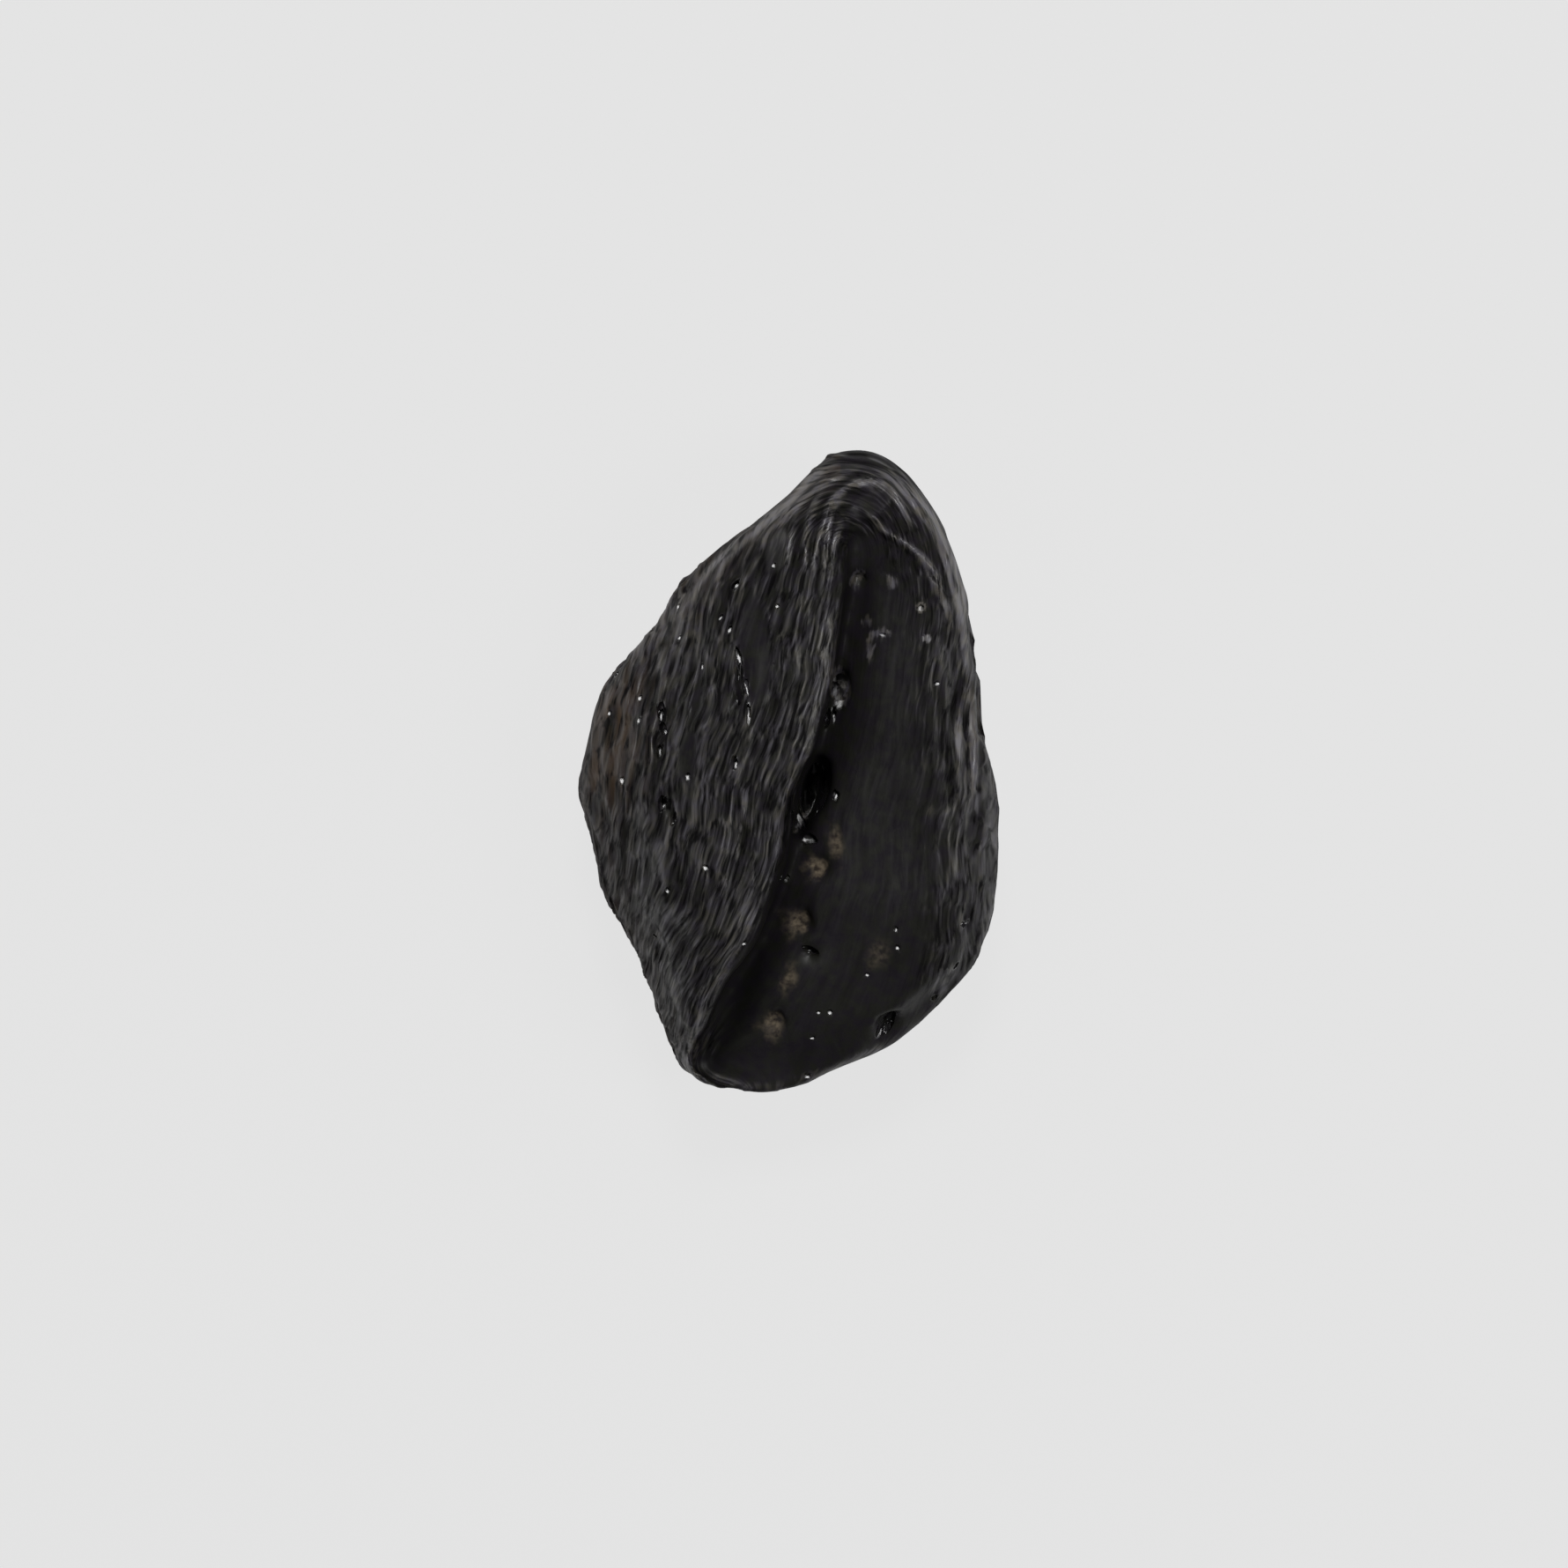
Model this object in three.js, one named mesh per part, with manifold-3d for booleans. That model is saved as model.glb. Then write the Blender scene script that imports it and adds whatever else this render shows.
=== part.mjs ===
// An australite tektite: one piece of black natural glass, lying on its worn back.
//
// Frame: millimetres, +Z up. Y runs along the stone towards its narrow end, X runs across it, and
// the origin is the middle of its footprint on the surface that it lies on.
//
// The stone is a sphere mesh whose rings become cross-sections. Each ring is one spline that goes
// from the crest down into the hollow, over the right rim, under the stone and up the fluted left
// face, back to the crest. The spline is cut at the crest, so the crest keeps its sharp edge.

import * as THREE from "three";
import { mergeVertices } from "three/addons/utils/BufferGeometryUtils.js";
import { ImprovedNoise } from "three/addons/math/ImprovedNoise.js";
import Module from "manifold-3d";

// ---- Driving dimensions ----

const LENGTH = 24;
const HALF_LENGTH = LENGTH / 2;
const RINGS = 53; // cross-sections along the stone
const RING_CROWDING = 1.25; // above 1, rings lie closer together towards the narrow end
const RING_EVENNESS = 0.6; // 0 crowds the rings at both ends, 1 only at the narrow one
const NARROW_END = { x: 2.64, z: 5.0 };
const BLUNT_END = { x: -0.74, z: 3.6 };
const CREST_ROLL = { width: 1.7, height: 0.3 }; // the crest's rounded back, left of its edge

const LUMPS = { size: 4.4, height: 0.32 }; // broad unevenness of the whole surface
const FLUTES = { spacing: 1.5, length: 8, height: 0.34 }; // ridges drawn out along the flow
const FLUTE_ROUNDING = 0.06; // keeps the ridges from coming to a knife edge
const FLUTE_MEAN = 0.5; // the average of the ridge pattern, so that it adds no volume
const HOOD = { x: 2.5, y: 7.5 }; // where the flow lines begin to arch over the narrow end
const LIP = { height: 0.2, halfWidth: 0.42 }; // the cross-section of the hood's two arched lips
const CREST_MARGIN = 1.6; // the flutes fade out over this distance from the crest
const WORN_HEIGHT = 0.9; // relief fades out below this height, where the stone is worn
const HOLLOW_FLUTES = 0.22; // how much of the fluting is left in the smooth hollow

const GLASS = { color: 0x1a1a1b, roughness: 0.5, metalness: 0 };

// ---- Rails: lines that run along the stone, each as [y, value] stations ----

const ringAngle = (y) => Math.acos(THREE.MathUtils.clamp(y / HALF_LENGTH, -1, 1));

// A smooth curve through the stations, which closes on one value at each end of the stone.
function rail(narrowEnd, stations, bluntEnd) {
  const all = [[HALF_LENGTH, narrowEnd], ...stations, [-HALF_LENGTH, bluntEnd]];
  const angles = all.map(([y]) => ringAngle(y));
  const values = all.map(([, value]) => value);
  const spline = new THREE.CubicInterpolant(angles, values, 1);
  return (y) => spline.evaluate(ringAngle(y))[0];
}

const acrossRail = (...stations) => rail(NARROW_END.x, stations, BLUNT_END.x);
const heightRail = (...stations) => rail(NARROW_END.z, stations, BLUNT_END.z);

const leftEdgeX = acrossRail(
  [11.3, 1.1], [10, -0.1], [8.7, -2.1], [7.4, -3.3], [6, -4.4], [5.4, -4.65], [4.6, -5.5],
  [3.4, -6.35], [2.1, -6.95], [0.8, -7.25], [-0.8, -7.57], [-2.4, -7.25], [-3.4, -6.88],
  [-4.5, -6.68], [-5.7, -5.95], [-7.4, -5.1], [-9, -4.6], [-10.4, -4.15], [-11.2, -3.75],
  [-11.6, -2.95], [-11.87, -1.5],
);
const rightEdgeX = acrossRail(
  [11.3, 4.1], [10, 5.32], [8.7, 6.04], [7.4, 6.52], [5.4, 6.89], [3.5, 7.12], [1.5, 7.12],
  [0, 7.38], [-1.8, 7.55], [-3.7, 7.58], [-5, 7.45], [-6.4, 7.22], [-7.3, 6.9], [-8, 6.3],
  [-8.7, 5.6], [-9.6, 4.6], [-10.3, 3.72], [-10.95, 2.34], [-11.6, 1], [-11.87, 0.25],
);
const leftEdgeZ = heightRail([11, 4.7], [9, 4.3], [6, 3.9], [0, 3.5], [-6, 3.6], [-10, 3.6]);
const rightEdgeZ = heightRail([11, 4.8], [9, 4.5], [4, 4.2], [-4, 4], [-8, 3.7], [-10.5, 3.5]);

const crestX = acrossRail(
  [11, 2.5], [10, 2.15], [9.2, 1.85], [8.2, 1.9], [7.2, 2.1], [5.2, 1.77], [3, 1.42], [1, 0.93], [-0.85, 0.18],
  [-2.7, -0.08], [-4.5, -0.74], [-6.2, -1.4], [-7.4, -2.3], [-9.2, -3.05], [-10.4, -3.45],
  [-11.1, -3.4], [-11.6, -2.6],
);
const crestZ = heightRail(
  [11, 6.9], [10, 7.9], [9, 8.5], [7.5, 8.95], [5, 9.15], [1, 9.2], [-3, 8.9], [-6, 8.2],
  [-8.5, 7.1], [-10.3, 5.9], [-11.2, 4.9],
);
const footInset = rail(0, [[10, 0.9], [8.4, 0.6], [7.2, 0.4], [3, 0.3], [-6, 0.4], [-9, 0.5]], 0);
const footZ = heightRail(
  [11, 6.75], [10.2, 7.55], [9.4, 7.85], [8.4, 7.5], [7.2, 6.8], [5, 6.15], [2, 5.8], [-1, 5.5],
  [-4, 5.1], [-7, 4.6], [-9.5, 4], [-10.7, 3.75], [-11.4, 3.7],
);
const rimInset = rail(0, [[11, 0.7], [9, 1.3], [5, 1.5], [0, 1.7], [-5, 1.7], [-9, 1.1]], 0);
const rimZ = heightRail(
  [11, 6.2], [10, 6.9], [8, 7.5], [5, 7.55], [0, 7.3], [-4, 6.9], [-7, 6.1], [-9, 5.2],
  [-10.6, 4.2], [-11.5, 3.8],
);
const backZ = heightRail(
  [11.3, 3.1], [10.2, 1.9], [8.5, 1], [6, 0.4], [3, -0.06], [-3.4, -0.08], [-7, 0.35],
  [-9.5, 1.1], [-11, 2],
);

// ---- Cross-sections ----

const { lerp, smoothstep } = THREE.MathUtils;

// The points that one cross-section's spline goes through, from the crest round to the crest,
// each with the number of mesh steps from the point before it.
function sectionPoints(y) {
  const left = leftEdgeX(y);
  const right = rightEdgeX(y);
  const width = right - left;
  const crest = { x: crestX(y), z: crestZ(y) };
  const foot = { x: crest.x + footInset(y), z: footZ(y) };
  const rim = { x: right - rimInset(y), z: rimZ(y) };
  const back = backZ(y);
  const rollWidth = Math.min(CREST_ROLL.width, 0.3 * (crest.x - left));
  const roll = { x: crest.x - rollWidth, z: crest.z + CREST_ROLL.height * rollWidth };
  const leftZ = leftEdgeZ(y);
  const rightZ = rightEdgeZ(y);
  return [
    { x: crest.x, z: crest.z, steps: 0 },
    { x: crest.x + 0.35 * (foot.x - crest.x), z: lerp(crest.z, foot.z, 0.5), steps: 3 },
    { x: foot.x, z: foot.z, steps: 2 },
    { x: lerp(foot.x, rim.x, 0.25), z: lerp(foot.z, rim.z, 0.36), steps: 4 },
    { x: lerp(foot.x, rim.x, 0.62), z: lerp(foot.z, rim.z, 0.72), steps: 5 },
    { x: rim.x, z: rim.z, steps: 5 },
    { x: lerp(rim.x, right, 0.72), z: lerp(rim.z, rightZ, 0.45), steps: 4 },
    { x: right, z: rightZ, steps: 4 },
    { x: right - 0.09 * width, z: lerp(back, rightZ, 0.4), steps: 4 },
    { x: right - 0.25 * width, z: back + 0.35, steps: 4 },
    { x: lerp(left, right, 0.5), z: back, steps: 4 },
    { x: left + 0.27 * width, z: back + 0.3, steps: 4 },
    { x: left + 0.1 * width, z: lerp(back, leftZ, 0.42), steps: 4 },
    { x: left, z: leftZ, steps: 4 },
    { x: lerp(left, roll.x, 0.16), z: lerp(leftZ, roll.z, 0.36), steps: 4 },
    { x: lerp(left, roll.x, 0.52), z: lerp(leftZ, roll.z, 0.76), steps: 7 },
    { x: roll.x, z: roll.z, steps: 7 },
    { x: crest.x, z: crest.z, steps: 4 },
  ];
}

const STEPS_AROUND = sectionPoints(0).reduce((sum, point) => sum + point.steps, 0);

// One ring of the mesh: the section's spline, sampled by each span's own number of steps.
function ring(y) {
  const points = sectionPoints(y);
  const curve = new THREE.CatmullRomCurve3(
    points.map(({ x, z }) => new THREE.Vector3(x, y, z)), false, "centripetal",
  );
  const spans = points.length - 1;
  const samples = [curve.getPoint(0)];
  for (let span = 1; span <= spans; span++) {
    for (let step = 1; step <= points[span].steps; step++) {
      samples.push(curve.getPoint((span - 1 + step / points[span].steps) / spans));
    }
  }
  return samples;
}

function ringY(index) {
  const share = index / RINGS;
  const crowded = Math.cos(Math.PI * share);
  const even = 1 - 2 * share ** RING_CROWDING;
  return HALF_LENGTH * lerp(crowded, even, RING_EVENNESS);
}

function loftedBody() {
  const body = new THREE.SphereGeometry(1, STEPS_AROUND, RINGS);
  const position = body.getAttribute("position");
  for (let row = 0; row <= RINGS; row++) {
    const end = row === 0 ? NARROW_END : BLUNT_END;
    const isPole = row === 0 || row === RINGS;
    const samples = isPole ? [] : ring(ringY(row));
    for (let column = 0; column <= STEPS_AROUND; column++) {
      const p = isPole ? new THREE.Vector3(end.x, ringY(row), end.z) : samples[column];
      position.setXYZ(row * (STEPS_AROUND + 1) + column, p.x, p.y, p.z);
    }
  }
  body.deleteAttribute("normal");
  body.deleteAttribute("uv");
  const merged = mergeVertices(body, 1e-4);
  merged.computeVertexNormals();
  return merged;
}

// ---- Surface relief ----

const noise = new ImprovedNoise();

// Distance across and along the flow. The flow lines run beside the crest, they spread out to
// follow the right edge, and past the crest's narrow end they arch over.
function flowAt(p) {
  if (p.y > HOOD.y) {
    const across = Math.hypot(p.x - HOOD.x, p.y - HOOD.y);
    const turn = Math.atan2(p.y - HOOD.y, Math.abs(p.x - HOOD.x));
    return { across, along: -across * turn };
  }
  const crest = crestX(p.y) + HOOD.x - crestX(HOOD.y);
  const spread = (rightEdgeX(p.y) - crest) / (rightEdgeX(HOOD.y) - HOOD.x);
  const across = p.x < crest ? crest - p.x : (p.x - crest) / spread;
  return { across, along: HOOD.y - p.y };
}

// 1 on the smooth floor of the hollow, and 0 on the fluted rest of the stone.
function hollowShare(p) {
  const fromCrest = p.x - crestX(p.y);
  const fromRim = rightEdgeX(p.y) - rimInset(p.y) - p.x;
  const inside = smoothstep(fromCrest, 0.1, 0.6) * smoothstep(fromRim, 0, 1.2);
  const belowHood = smoothstep(HOOD.y + 1 - p.y, 0, 1.5);
  return p.z > rightEdgeZ(p.y) ? inside * belowHood : 0;
}

// The two lips that arch over the narrow end, drawn in plan. The inner one is where the crest's
// edge turns over the end of the hollow, and they meet beside the right rim.
const HOOD_LIPS = [
  [[2.1, 7.2], [1.9, 8.2], [1.8, 9.2], [2.2, 9.75], [2.8, 9.8], [3.7, 9.1], [4.4, 8.4], [5.3, 7.9]],
  [[0.7, 7.5], [1.2, 8.6], [1.6, 9.9], [2.7, 10.7], [3.6, 10.3], [4.6, 9.3], [5.5, 7.9], [5.8, 6.4]],
];
const lipPoints = HOOD_LIPS.flatMap((plan) => {
  const curve = new THREE.SplineCurve(plan.map(([x, y]) => new THREE.Vector2(x, y)));
  return curve.getSpacedPoints(60);
});

// How much of a lip there is at a point: 1 on its line, and 0 away from it and under the stone.
function lipShare(p) {
  const inPlan = new THREE.Vector2(p.x, p.y);
  const distance = Math.min(...lipPoints.map((point) => point.distanceTo(inPlan)));
  const upper = smoothstep(p.z - rightEdgeZ(p.y), 0, 1);
  return upper * Math.exp(-((distance / LIP.halfWidth) ** 2));
}

function relief(p) {
  const { across, along } = flowAt(p);
  const lump = noise.noise(p.x / LUMPS.size, p.y / LUMPS.size, p.z / LUMPS.size);
  const strand = noise.noise(across / FLUTES.spacing, p.z / FLUTES.spacing, along / FLUTES.length);
  const ridge = 1 - 2 * Math.hypot(strand, FLUTE_ROUNDING) - FLUTE_MEAN;
  const hood = smoothstep(p.y, HOOD.y - 1, HOOD.y + 1);
  const shown = lerp(1, HOLLOW_FLUTES, Math.max(hollowShare(p), hood));
  const besideCrest = smoothstep(across, 0, CREST_MARGIN);
  const fluting = FLUTES.height * ridge * shown * besideCrest;
  return LUMPS.height * lump + fluting + LIP.height * lipShare(p);
}

function addRelief(body) {
  const position = body.getAttribute("position");
  const normal = body.getAttribute("normal");
  const ends = smoothEnds();
  const p = new THREE.Vector3();
  const outward = new THREE.Vector3();
  for (let i = 0; i < position.count; i++) {
    p.fromBufferAttribute(position, i);
    outward.fromBufferAttribute(normal, i);
    p.addScaledVector(outward, relief(p) * ends(p.y) * smoothstep(p.z, 0, WORN_HEIGHT));
    position.setXYZ(i, p.x, p.y, p.z);
  }
  return body;
}

// Relief fades out at the two ends, where the rings shrink to a point.
function smoothEnds() {
  const fade = 0.8;
  return (y) => smoothstep(HALF_LENGTH - Math.abs(y), 0, fade);
}

// ---- Bubble pits ----

// Each pit is an open gas bubble: the place it is aimed at, the side it opens to, its radii
// along the flow and across it, and its depth.
const UP = new THREE.Vector3(0, 0, 1);
const DOWN = new THREE.Vector3(0, 0, -1);
const PITS = [
  { x: 1.06, y: -0.5, side: UP, along: 1.25, across: 0.62, depth: 0.95 }, // by the crest's foot
  { x: 0.5, y: -2.0, side: UP, along: 0.5, across: 0.42, depth: 0.5 },
  { x: 1.98, y: 3.2, side: UP, along: 0.75, across: 0.45, depth: 0.45 },
  { x: 1.25, y: -3.5, side: UP, along: 0.5, across: 0.4, depth: 0.35 },
  { x: 0.57, y: -5.5, side: UP, along: 0.6, across: 0.5, depth: 0.35 },
  { x: 0.83, y: -6.7, side: UP, along: 0.35, across: 0.4, depth: 0.3 },
  { x: -0.4, y: -9.2, side: UP, along: 0.55, across: 0.42, depth: 0.35 },
  { x: 3.7, y: -9.3, side: UP, along: 0.8, across: 0.4, depth: 0.45 },
  { x: 2.7, y: 7.2, side: UP, along: 0.4, across: 0.35, depth: 0.3 },
  { x: -4.5, y: 1.9, side: UP, along: 0.95, across: 0.4, depth: 0.35 },
  { x: -4.4, y: -1.4, side: UP, along: 0.65, across: 0.4, depth: 0.35 },
  { x: -1.65, y: 3.2, side: UP, along: 1.2, across: 0.3, depth: 0.35 },
  { x: 2.2, y: 4.2, side: DOWN, along: 0.9, across: 0.7, depth: 0.5 },
  { x: -2.4, y: -6.2, side: DOWN, along: 0.7, across: 0.6, depth: 0.45 },
  { x: 4.3, y: -3.4, side: DOWN, along: 0.5, across: 0.45, depth: 0.35 },
  { x: -4.9, y: 2.2, side: DOWN, along: 0.6, across: 0.4, depth: 0.35 },
];
const PIT_SUNK = 0.25; // how far a bubble's centre lies under the surface, as a share of its depth
const LARGE_PIT = 0.9; // a pit longer than this gets the finer ball

const wasm = await Module();
wasm.setup();

function toSolid(geometry) {
  const bare = geometry.clone();
  bare.deleteAttribute("normal");
  bare.deleteAttribute("uv");
  const merged = mergeVertices(bare, 1e-4);
  return new wasm.Manifold(new wasm.Mesh({
    numProp: 3,
    vertProperties: merged.getAttribute("position").array,
    triVerts: new Uint32Array(merged.index.array),
  }));
}

function toGeometry(solid) {
  const { vertProperties, triVerts } = solid.getMesh();
  const geometry = new THREE.BufferGeometry();
  geometry.setAttribute("position", new THREE.BufferAttribute(vertProperties, 3));
  geometry.setIndex(new THREE.BufferAttribute(triVerts, 1));
  geometry.computeVertexNormals();
  return geometry;
}

function pitSolid(body, pit) {
  const above = new THREE.Vector3(pit.x, pit.y, 0).addScaledVector(pit.side, 2 * LENGTH);
  const [hit] = new THREE.Raycaster(above, pit.side.clone().negate()).intersectObject(body);
  const bubble = new THREE.IcosahedronGeometry(1, pit.along > LARGE_PIT ? 2 : 1);
  const turn = new THREE.Euler(0, 0, Math.atan2(crestX(pit.y - 1) - crestX(pit.y), 1));
  bubble.scale(pit.across, pit.along, pit.depth);
  bubble.applyMatrix4(new THREE.Matrix4().makeRotationFromEuler(turn));
  const centre = hit.point.clone().addScaledVector(pit.side, -PIT_SUNK * pit.depth);
  bubble.translate(centre.x, centre.y, centre.z);
  return toSolid(bubble);
}

// The worn patch under the stone: everything below Z = 0 is cut away flat.
function groundSolid() {
  const ground = new THREE.BoxGeometry(2 * LENGTH, 2 * LENGTH, LENGTH);
  ground.translate(0, 0, -LENGTH / 2);
  return toSolid(ground);
}

// ---- The stone ----

function tektite() {
  const body = addRelief(loftedBody());
  const target = new THREE.Mesh(body, new THREE.MeshBasicMaterial({ side: THREE.DoubleSide }));
  let stone = toSolid(body);
  for (const pit of PITS) stone = stone.subtract(pitSolid(target, pit));
  stone = stone.subtract(groundSolid());
  const glass = new THREE.MeshStandardMaterial(GLASS);
  const mesh = new THREE.Mesh(toGeometry(stone), glass);
  mesh.name = "tektite";
  return mesh;
}

const group = new THREE.Group();
group.add(tektite());

export default group;
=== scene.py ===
# %% [markdown]
# # An australite tektite, in Blender
#
# A tektite is natural glass: rock that a meteorite impact melted and threw into the air, where it
# froze. This one is black, about as long as a fingertip, and lies on its worn back. What gives it its
# look is its surface: fine braided flow ridges over most of it, a smooth scooped hollow beside a
# curved crest, and open gas bubbles with glossy walls and a little reddish soil in them.
#
# The solid model gives the form and the size. This lesson starts from a copy of that solid, makes its
# mesh fine enough for sculpting, and then adds in turn the flow ridges, the bubble pits and the glass.
# The ridges change the form by a tenth or two of a millimetre, and the thin blunt end gets a little
# more glass underneath, where it isn't seen from above.

# %% Load the solid model and remember its box
import math
import random

import bpy
import numpy as np
from mathutils import Matrix, Vector, noise
from mathutils.bvhtree import BVHTree


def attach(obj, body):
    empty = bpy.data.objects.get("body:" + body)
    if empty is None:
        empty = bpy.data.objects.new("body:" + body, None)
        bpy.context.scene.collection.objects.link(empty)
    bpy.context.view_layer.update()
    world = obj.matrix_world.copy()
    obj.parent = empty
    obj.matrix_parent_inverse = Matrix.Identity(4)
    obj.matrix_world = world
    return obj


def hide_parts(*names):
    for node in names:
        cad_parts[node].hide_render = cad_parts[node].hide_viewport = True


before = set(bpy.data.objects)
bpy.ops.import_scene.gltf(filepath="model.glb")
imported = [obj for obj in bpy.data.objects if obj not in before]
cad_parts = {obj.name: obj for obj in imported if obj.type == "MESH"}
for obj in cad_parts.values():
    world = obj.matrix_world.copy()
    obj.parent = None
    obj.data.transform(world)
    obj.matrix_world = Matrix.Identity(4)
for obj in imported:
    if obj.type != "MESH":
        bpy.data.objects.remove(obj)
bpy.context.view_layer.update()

MM = 0.001  # the scene is in metres, and the stone is modelled in millimetres
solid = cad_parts["tektite"]

# %% [markdown]
# ## The camera
#
# The stone is seen from straight above, from so far away that it has no perspective to speak of.
# A long lens at 400 mm gives that. The frame is 58.3 mm wide where the stone is widest, so that the
# stone fills two fifths of it, with its narrow end up.

# %% The camera, straight above
FRAME_WIDTH = 58.3 * MM
FRAME_CENTRE = Vector((-0.08, -0.41, 0)) * MM
OUTLINE_HEIGHT = 4 * MM  # the stone is widest at this height
CAMERA_DISTANCE = 400 * MM
SENSOR = 36.0

camera = bpy.data.objects.new("camera", bpy.data.cameras.new("camera"))
bpy.context.scene.collection.objects.link(camera)
camera.location = FRAME_CENTRE + Vector((0, 0, OUTLINE_HEIGHT + CAMERA_DISTANCE))
camera.data.sensor_width = SENSOR
camera.data.lens = SENSOR * CAMERA_DISTANCE / FRAME_WIDTH
camera.data.clip_start = 10 * MM
camera.data.clip_end = 5
bpy.context.scene.camera = camera
print("lens, mm:", round(camera.data.lens, 1))


# %% [markdown]
# ## Colours and nodes
#
# Two helpers come first. Paint colours are written as hex values, as in any paint program, and
# shaders want them linear. The other helper adds a shader node, sets its inputs and wires them up.

# %% Helpers for colours and shader nodes
def linear(hex_colour):
    """An sRGB hex colour such as '#1b1b1c', as the linear RGBA that shaders use."""
    channels = [int(hex_colour[i:i + 2], 16) / 255 for i in (1, 3, 5)]
    return [c / 12.92 if c <= 0.04045 else ((c + 0.055) / 1.055) ** 2.4 for c in channels] + [1.0]


def add_node(tree, kind, settings=None, **inputs):
    """Adds a node, gives it its settings, and sets or links each named input."""
    node = tree.nodes.new(kind)
    for name, value in (settings or {}).items():
        setattr(node, name, value)
    for name, value in inputs.items():
        index = name.replace("_", " ")
        socket = node.inputs[int(index[1:]) if index[0] == "i" and index[1:].isdigit() else index]
        if isinstance(value, bpy.types.NodeSocket):
            tree.links.new(value, socket)
        else:
            socket.default_value = value
    return node


def new_material(name):
    """A material with an empty node tree, and that tree."""
    material = bpy.data.materials.new(name)
    material.use_nodes = True
    material.node_tree.nodes.clear()
    return material, material.node_tree


# %% [markdown]
# ## The pale floor
#
# The stone lies on a pale, evenly lit sheet, like the opal acrylic of a light table. A sheet that
# glows a little keeps its own tone and takes only a faint shadow.

# %% The floor
FLOOR_SIZE = 3.0
FLOOR_GLOW = 0.737  # how much of the sheet's tone comes from inside it
FLOOR_COLOUR = linear("#3f3f3f")

bpy.ops.object.select_all(action="DESELECT")
bpy.ops.mesh.primitive_plane_add(size=FLOOR_SIZE, location=(0, 0, 0))
floor = bpy.context.object
floor.name = "floor"
opal, tree = new_material("opal_acrylic_sheet")
sheet = add_node(tree, "ShaderNodeBsdfPrincipled", Base_Color=FLOOR_COLOUR, Roughness=0.9,
                 Emission_Color=linear("#ffffff"), Emission_Strength=FLOOR_GLOW)
sheet.inputs["Specular IOR Level"].default_value = 0
add_node(tree, "ShaderNodeOutputMaterial", Surface=sheet.outputs[0])
floor.data.materials.append(opal)
print("floor, m wide:", FLOOR_SIZE)

# %% [markdown]
# ## The light
#
# Black glass shows nothing of its own colour: what is seen on it are reflections. So the light is
# planned by where it is mirrored. A small strong lamp past the narrow end draws the ridges and puts
# sparks into the open bubbles. A soft box on the right and a weaker one on the left show the sides of
# the ridges, and the room itself is dim.

# %% The lamp, two soft boxes and the dim room
def soft_box(name, direction, distance, size, radiance):
    """A square area light that faces the stone. Its power follows from how bright it has to look."""
    light = bpy.data.objects.new(name, bpy.data.lights.new(name, "AREA"))
    bpy.context.scene.collection.objects.link(light)
    away = Vector(direction).normalized()
    light.location = away * distance
    light.rotation_euler = away.to_track_quat("Z", "Y").to_euler()
    light.data.shape = "RECTANGLE"
    light.data.size, light.data.size_y = size
    light.data.energy = radiance * math.pi * size[0] * size[1]
    light.visible_camera = False
    return light


LAMP = Vector((0, 0.62, 0.79))  # where the lamp is, seen from the stone
RIGHT_BOX = Vector((0.62, -0.1, 0.79))
LEFT_BOX = Vector((-0.62, 0, 0.79))
LIGHT_DISTANCE = 0.5
ROOM_LIGHT = 0.1
soft_box("lamp", LAMP, LIGHT_DISTANCE, (0.13, 0.13), 23)
soft_box("right_box", RIGHT_BOX, LIGHT_DISTANCE, (0.155, 0.155), 9)
soft_box("left_box", LEFT_BOX, LIGHT_DISTANCE, (0.16, 0.16), 2.5)
room = bpy.data.worlds.new("room")
bpy.context.scene.world = room
room.use_nodes = True
room.node_tree.nodes["Background"].inputs["Color"].default_value = linear("#ffffff")
room.node_tree.nodes["Background"].inputs["Strength"].default_value = ROOM_LIGHT
bpy.context.scene.view_settings.view_transform = "Standard"


# %% [markdown]
# ## A fine mesh of the stone
#
# The solid's facets are about half a millimetre wide, and a flow ridge is thinner than that. A voxel
# remesh lays an even net of small faces over the same form, and smoothing takes the facets out of it.
# At the blunt end the stone runs out into a lip that is thinner than the net can hold, and the net
# would tear there. So its underside is let down a little before the net is laid.

# %% Copy the solid, in millimetres
def only(obj):
    """Makes obj the one selected and active object."""
    bpy.ops.object.select_all(action="DESELECT")
    obj.select_set(True)
    bpy.context.view_layer.objects.active = obj


def apply_modifier(obj, kind, **settings):
    """Adds a modifier to obj and applies it at once."""
    only(obj)
    modifier = obj.modifiers.new(kind.lower(), kind)
    for name, value in settings.items():
        setattr(modifier, name, value)
    bpy.ops.object.modifier_apply(modifier=modifier.name)


def points_of(obj):
    """The points of a mesh and their normals, as two arrays with a row for each point."""
    co = np.empty(len(obj.data.vertices) * 3, np.float32)
    obj.data.vertices.foreach_get("co", co)
    normal = np.empty_like(co)
    obj.data.vertex_normals.foreach_get("vector", normal)
    return co.reshape(-1, 3).astype(float), normal.reshape(-1, 3).astype(float)


def set_points(obj, co):
    """Moves the points of a mesh to new places."""
    obj.data.vertices.foreach_set("co", co.astype(np.float32).ravel())
    obj.data.update()


def smoothstep(value, low, high):
    """0 below low, 1 above high, and an eased step between them."""
    t = np.clip((value - low) / (high - low), 0, 1)
    return t * t * (3 - 2 * t)


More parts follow.
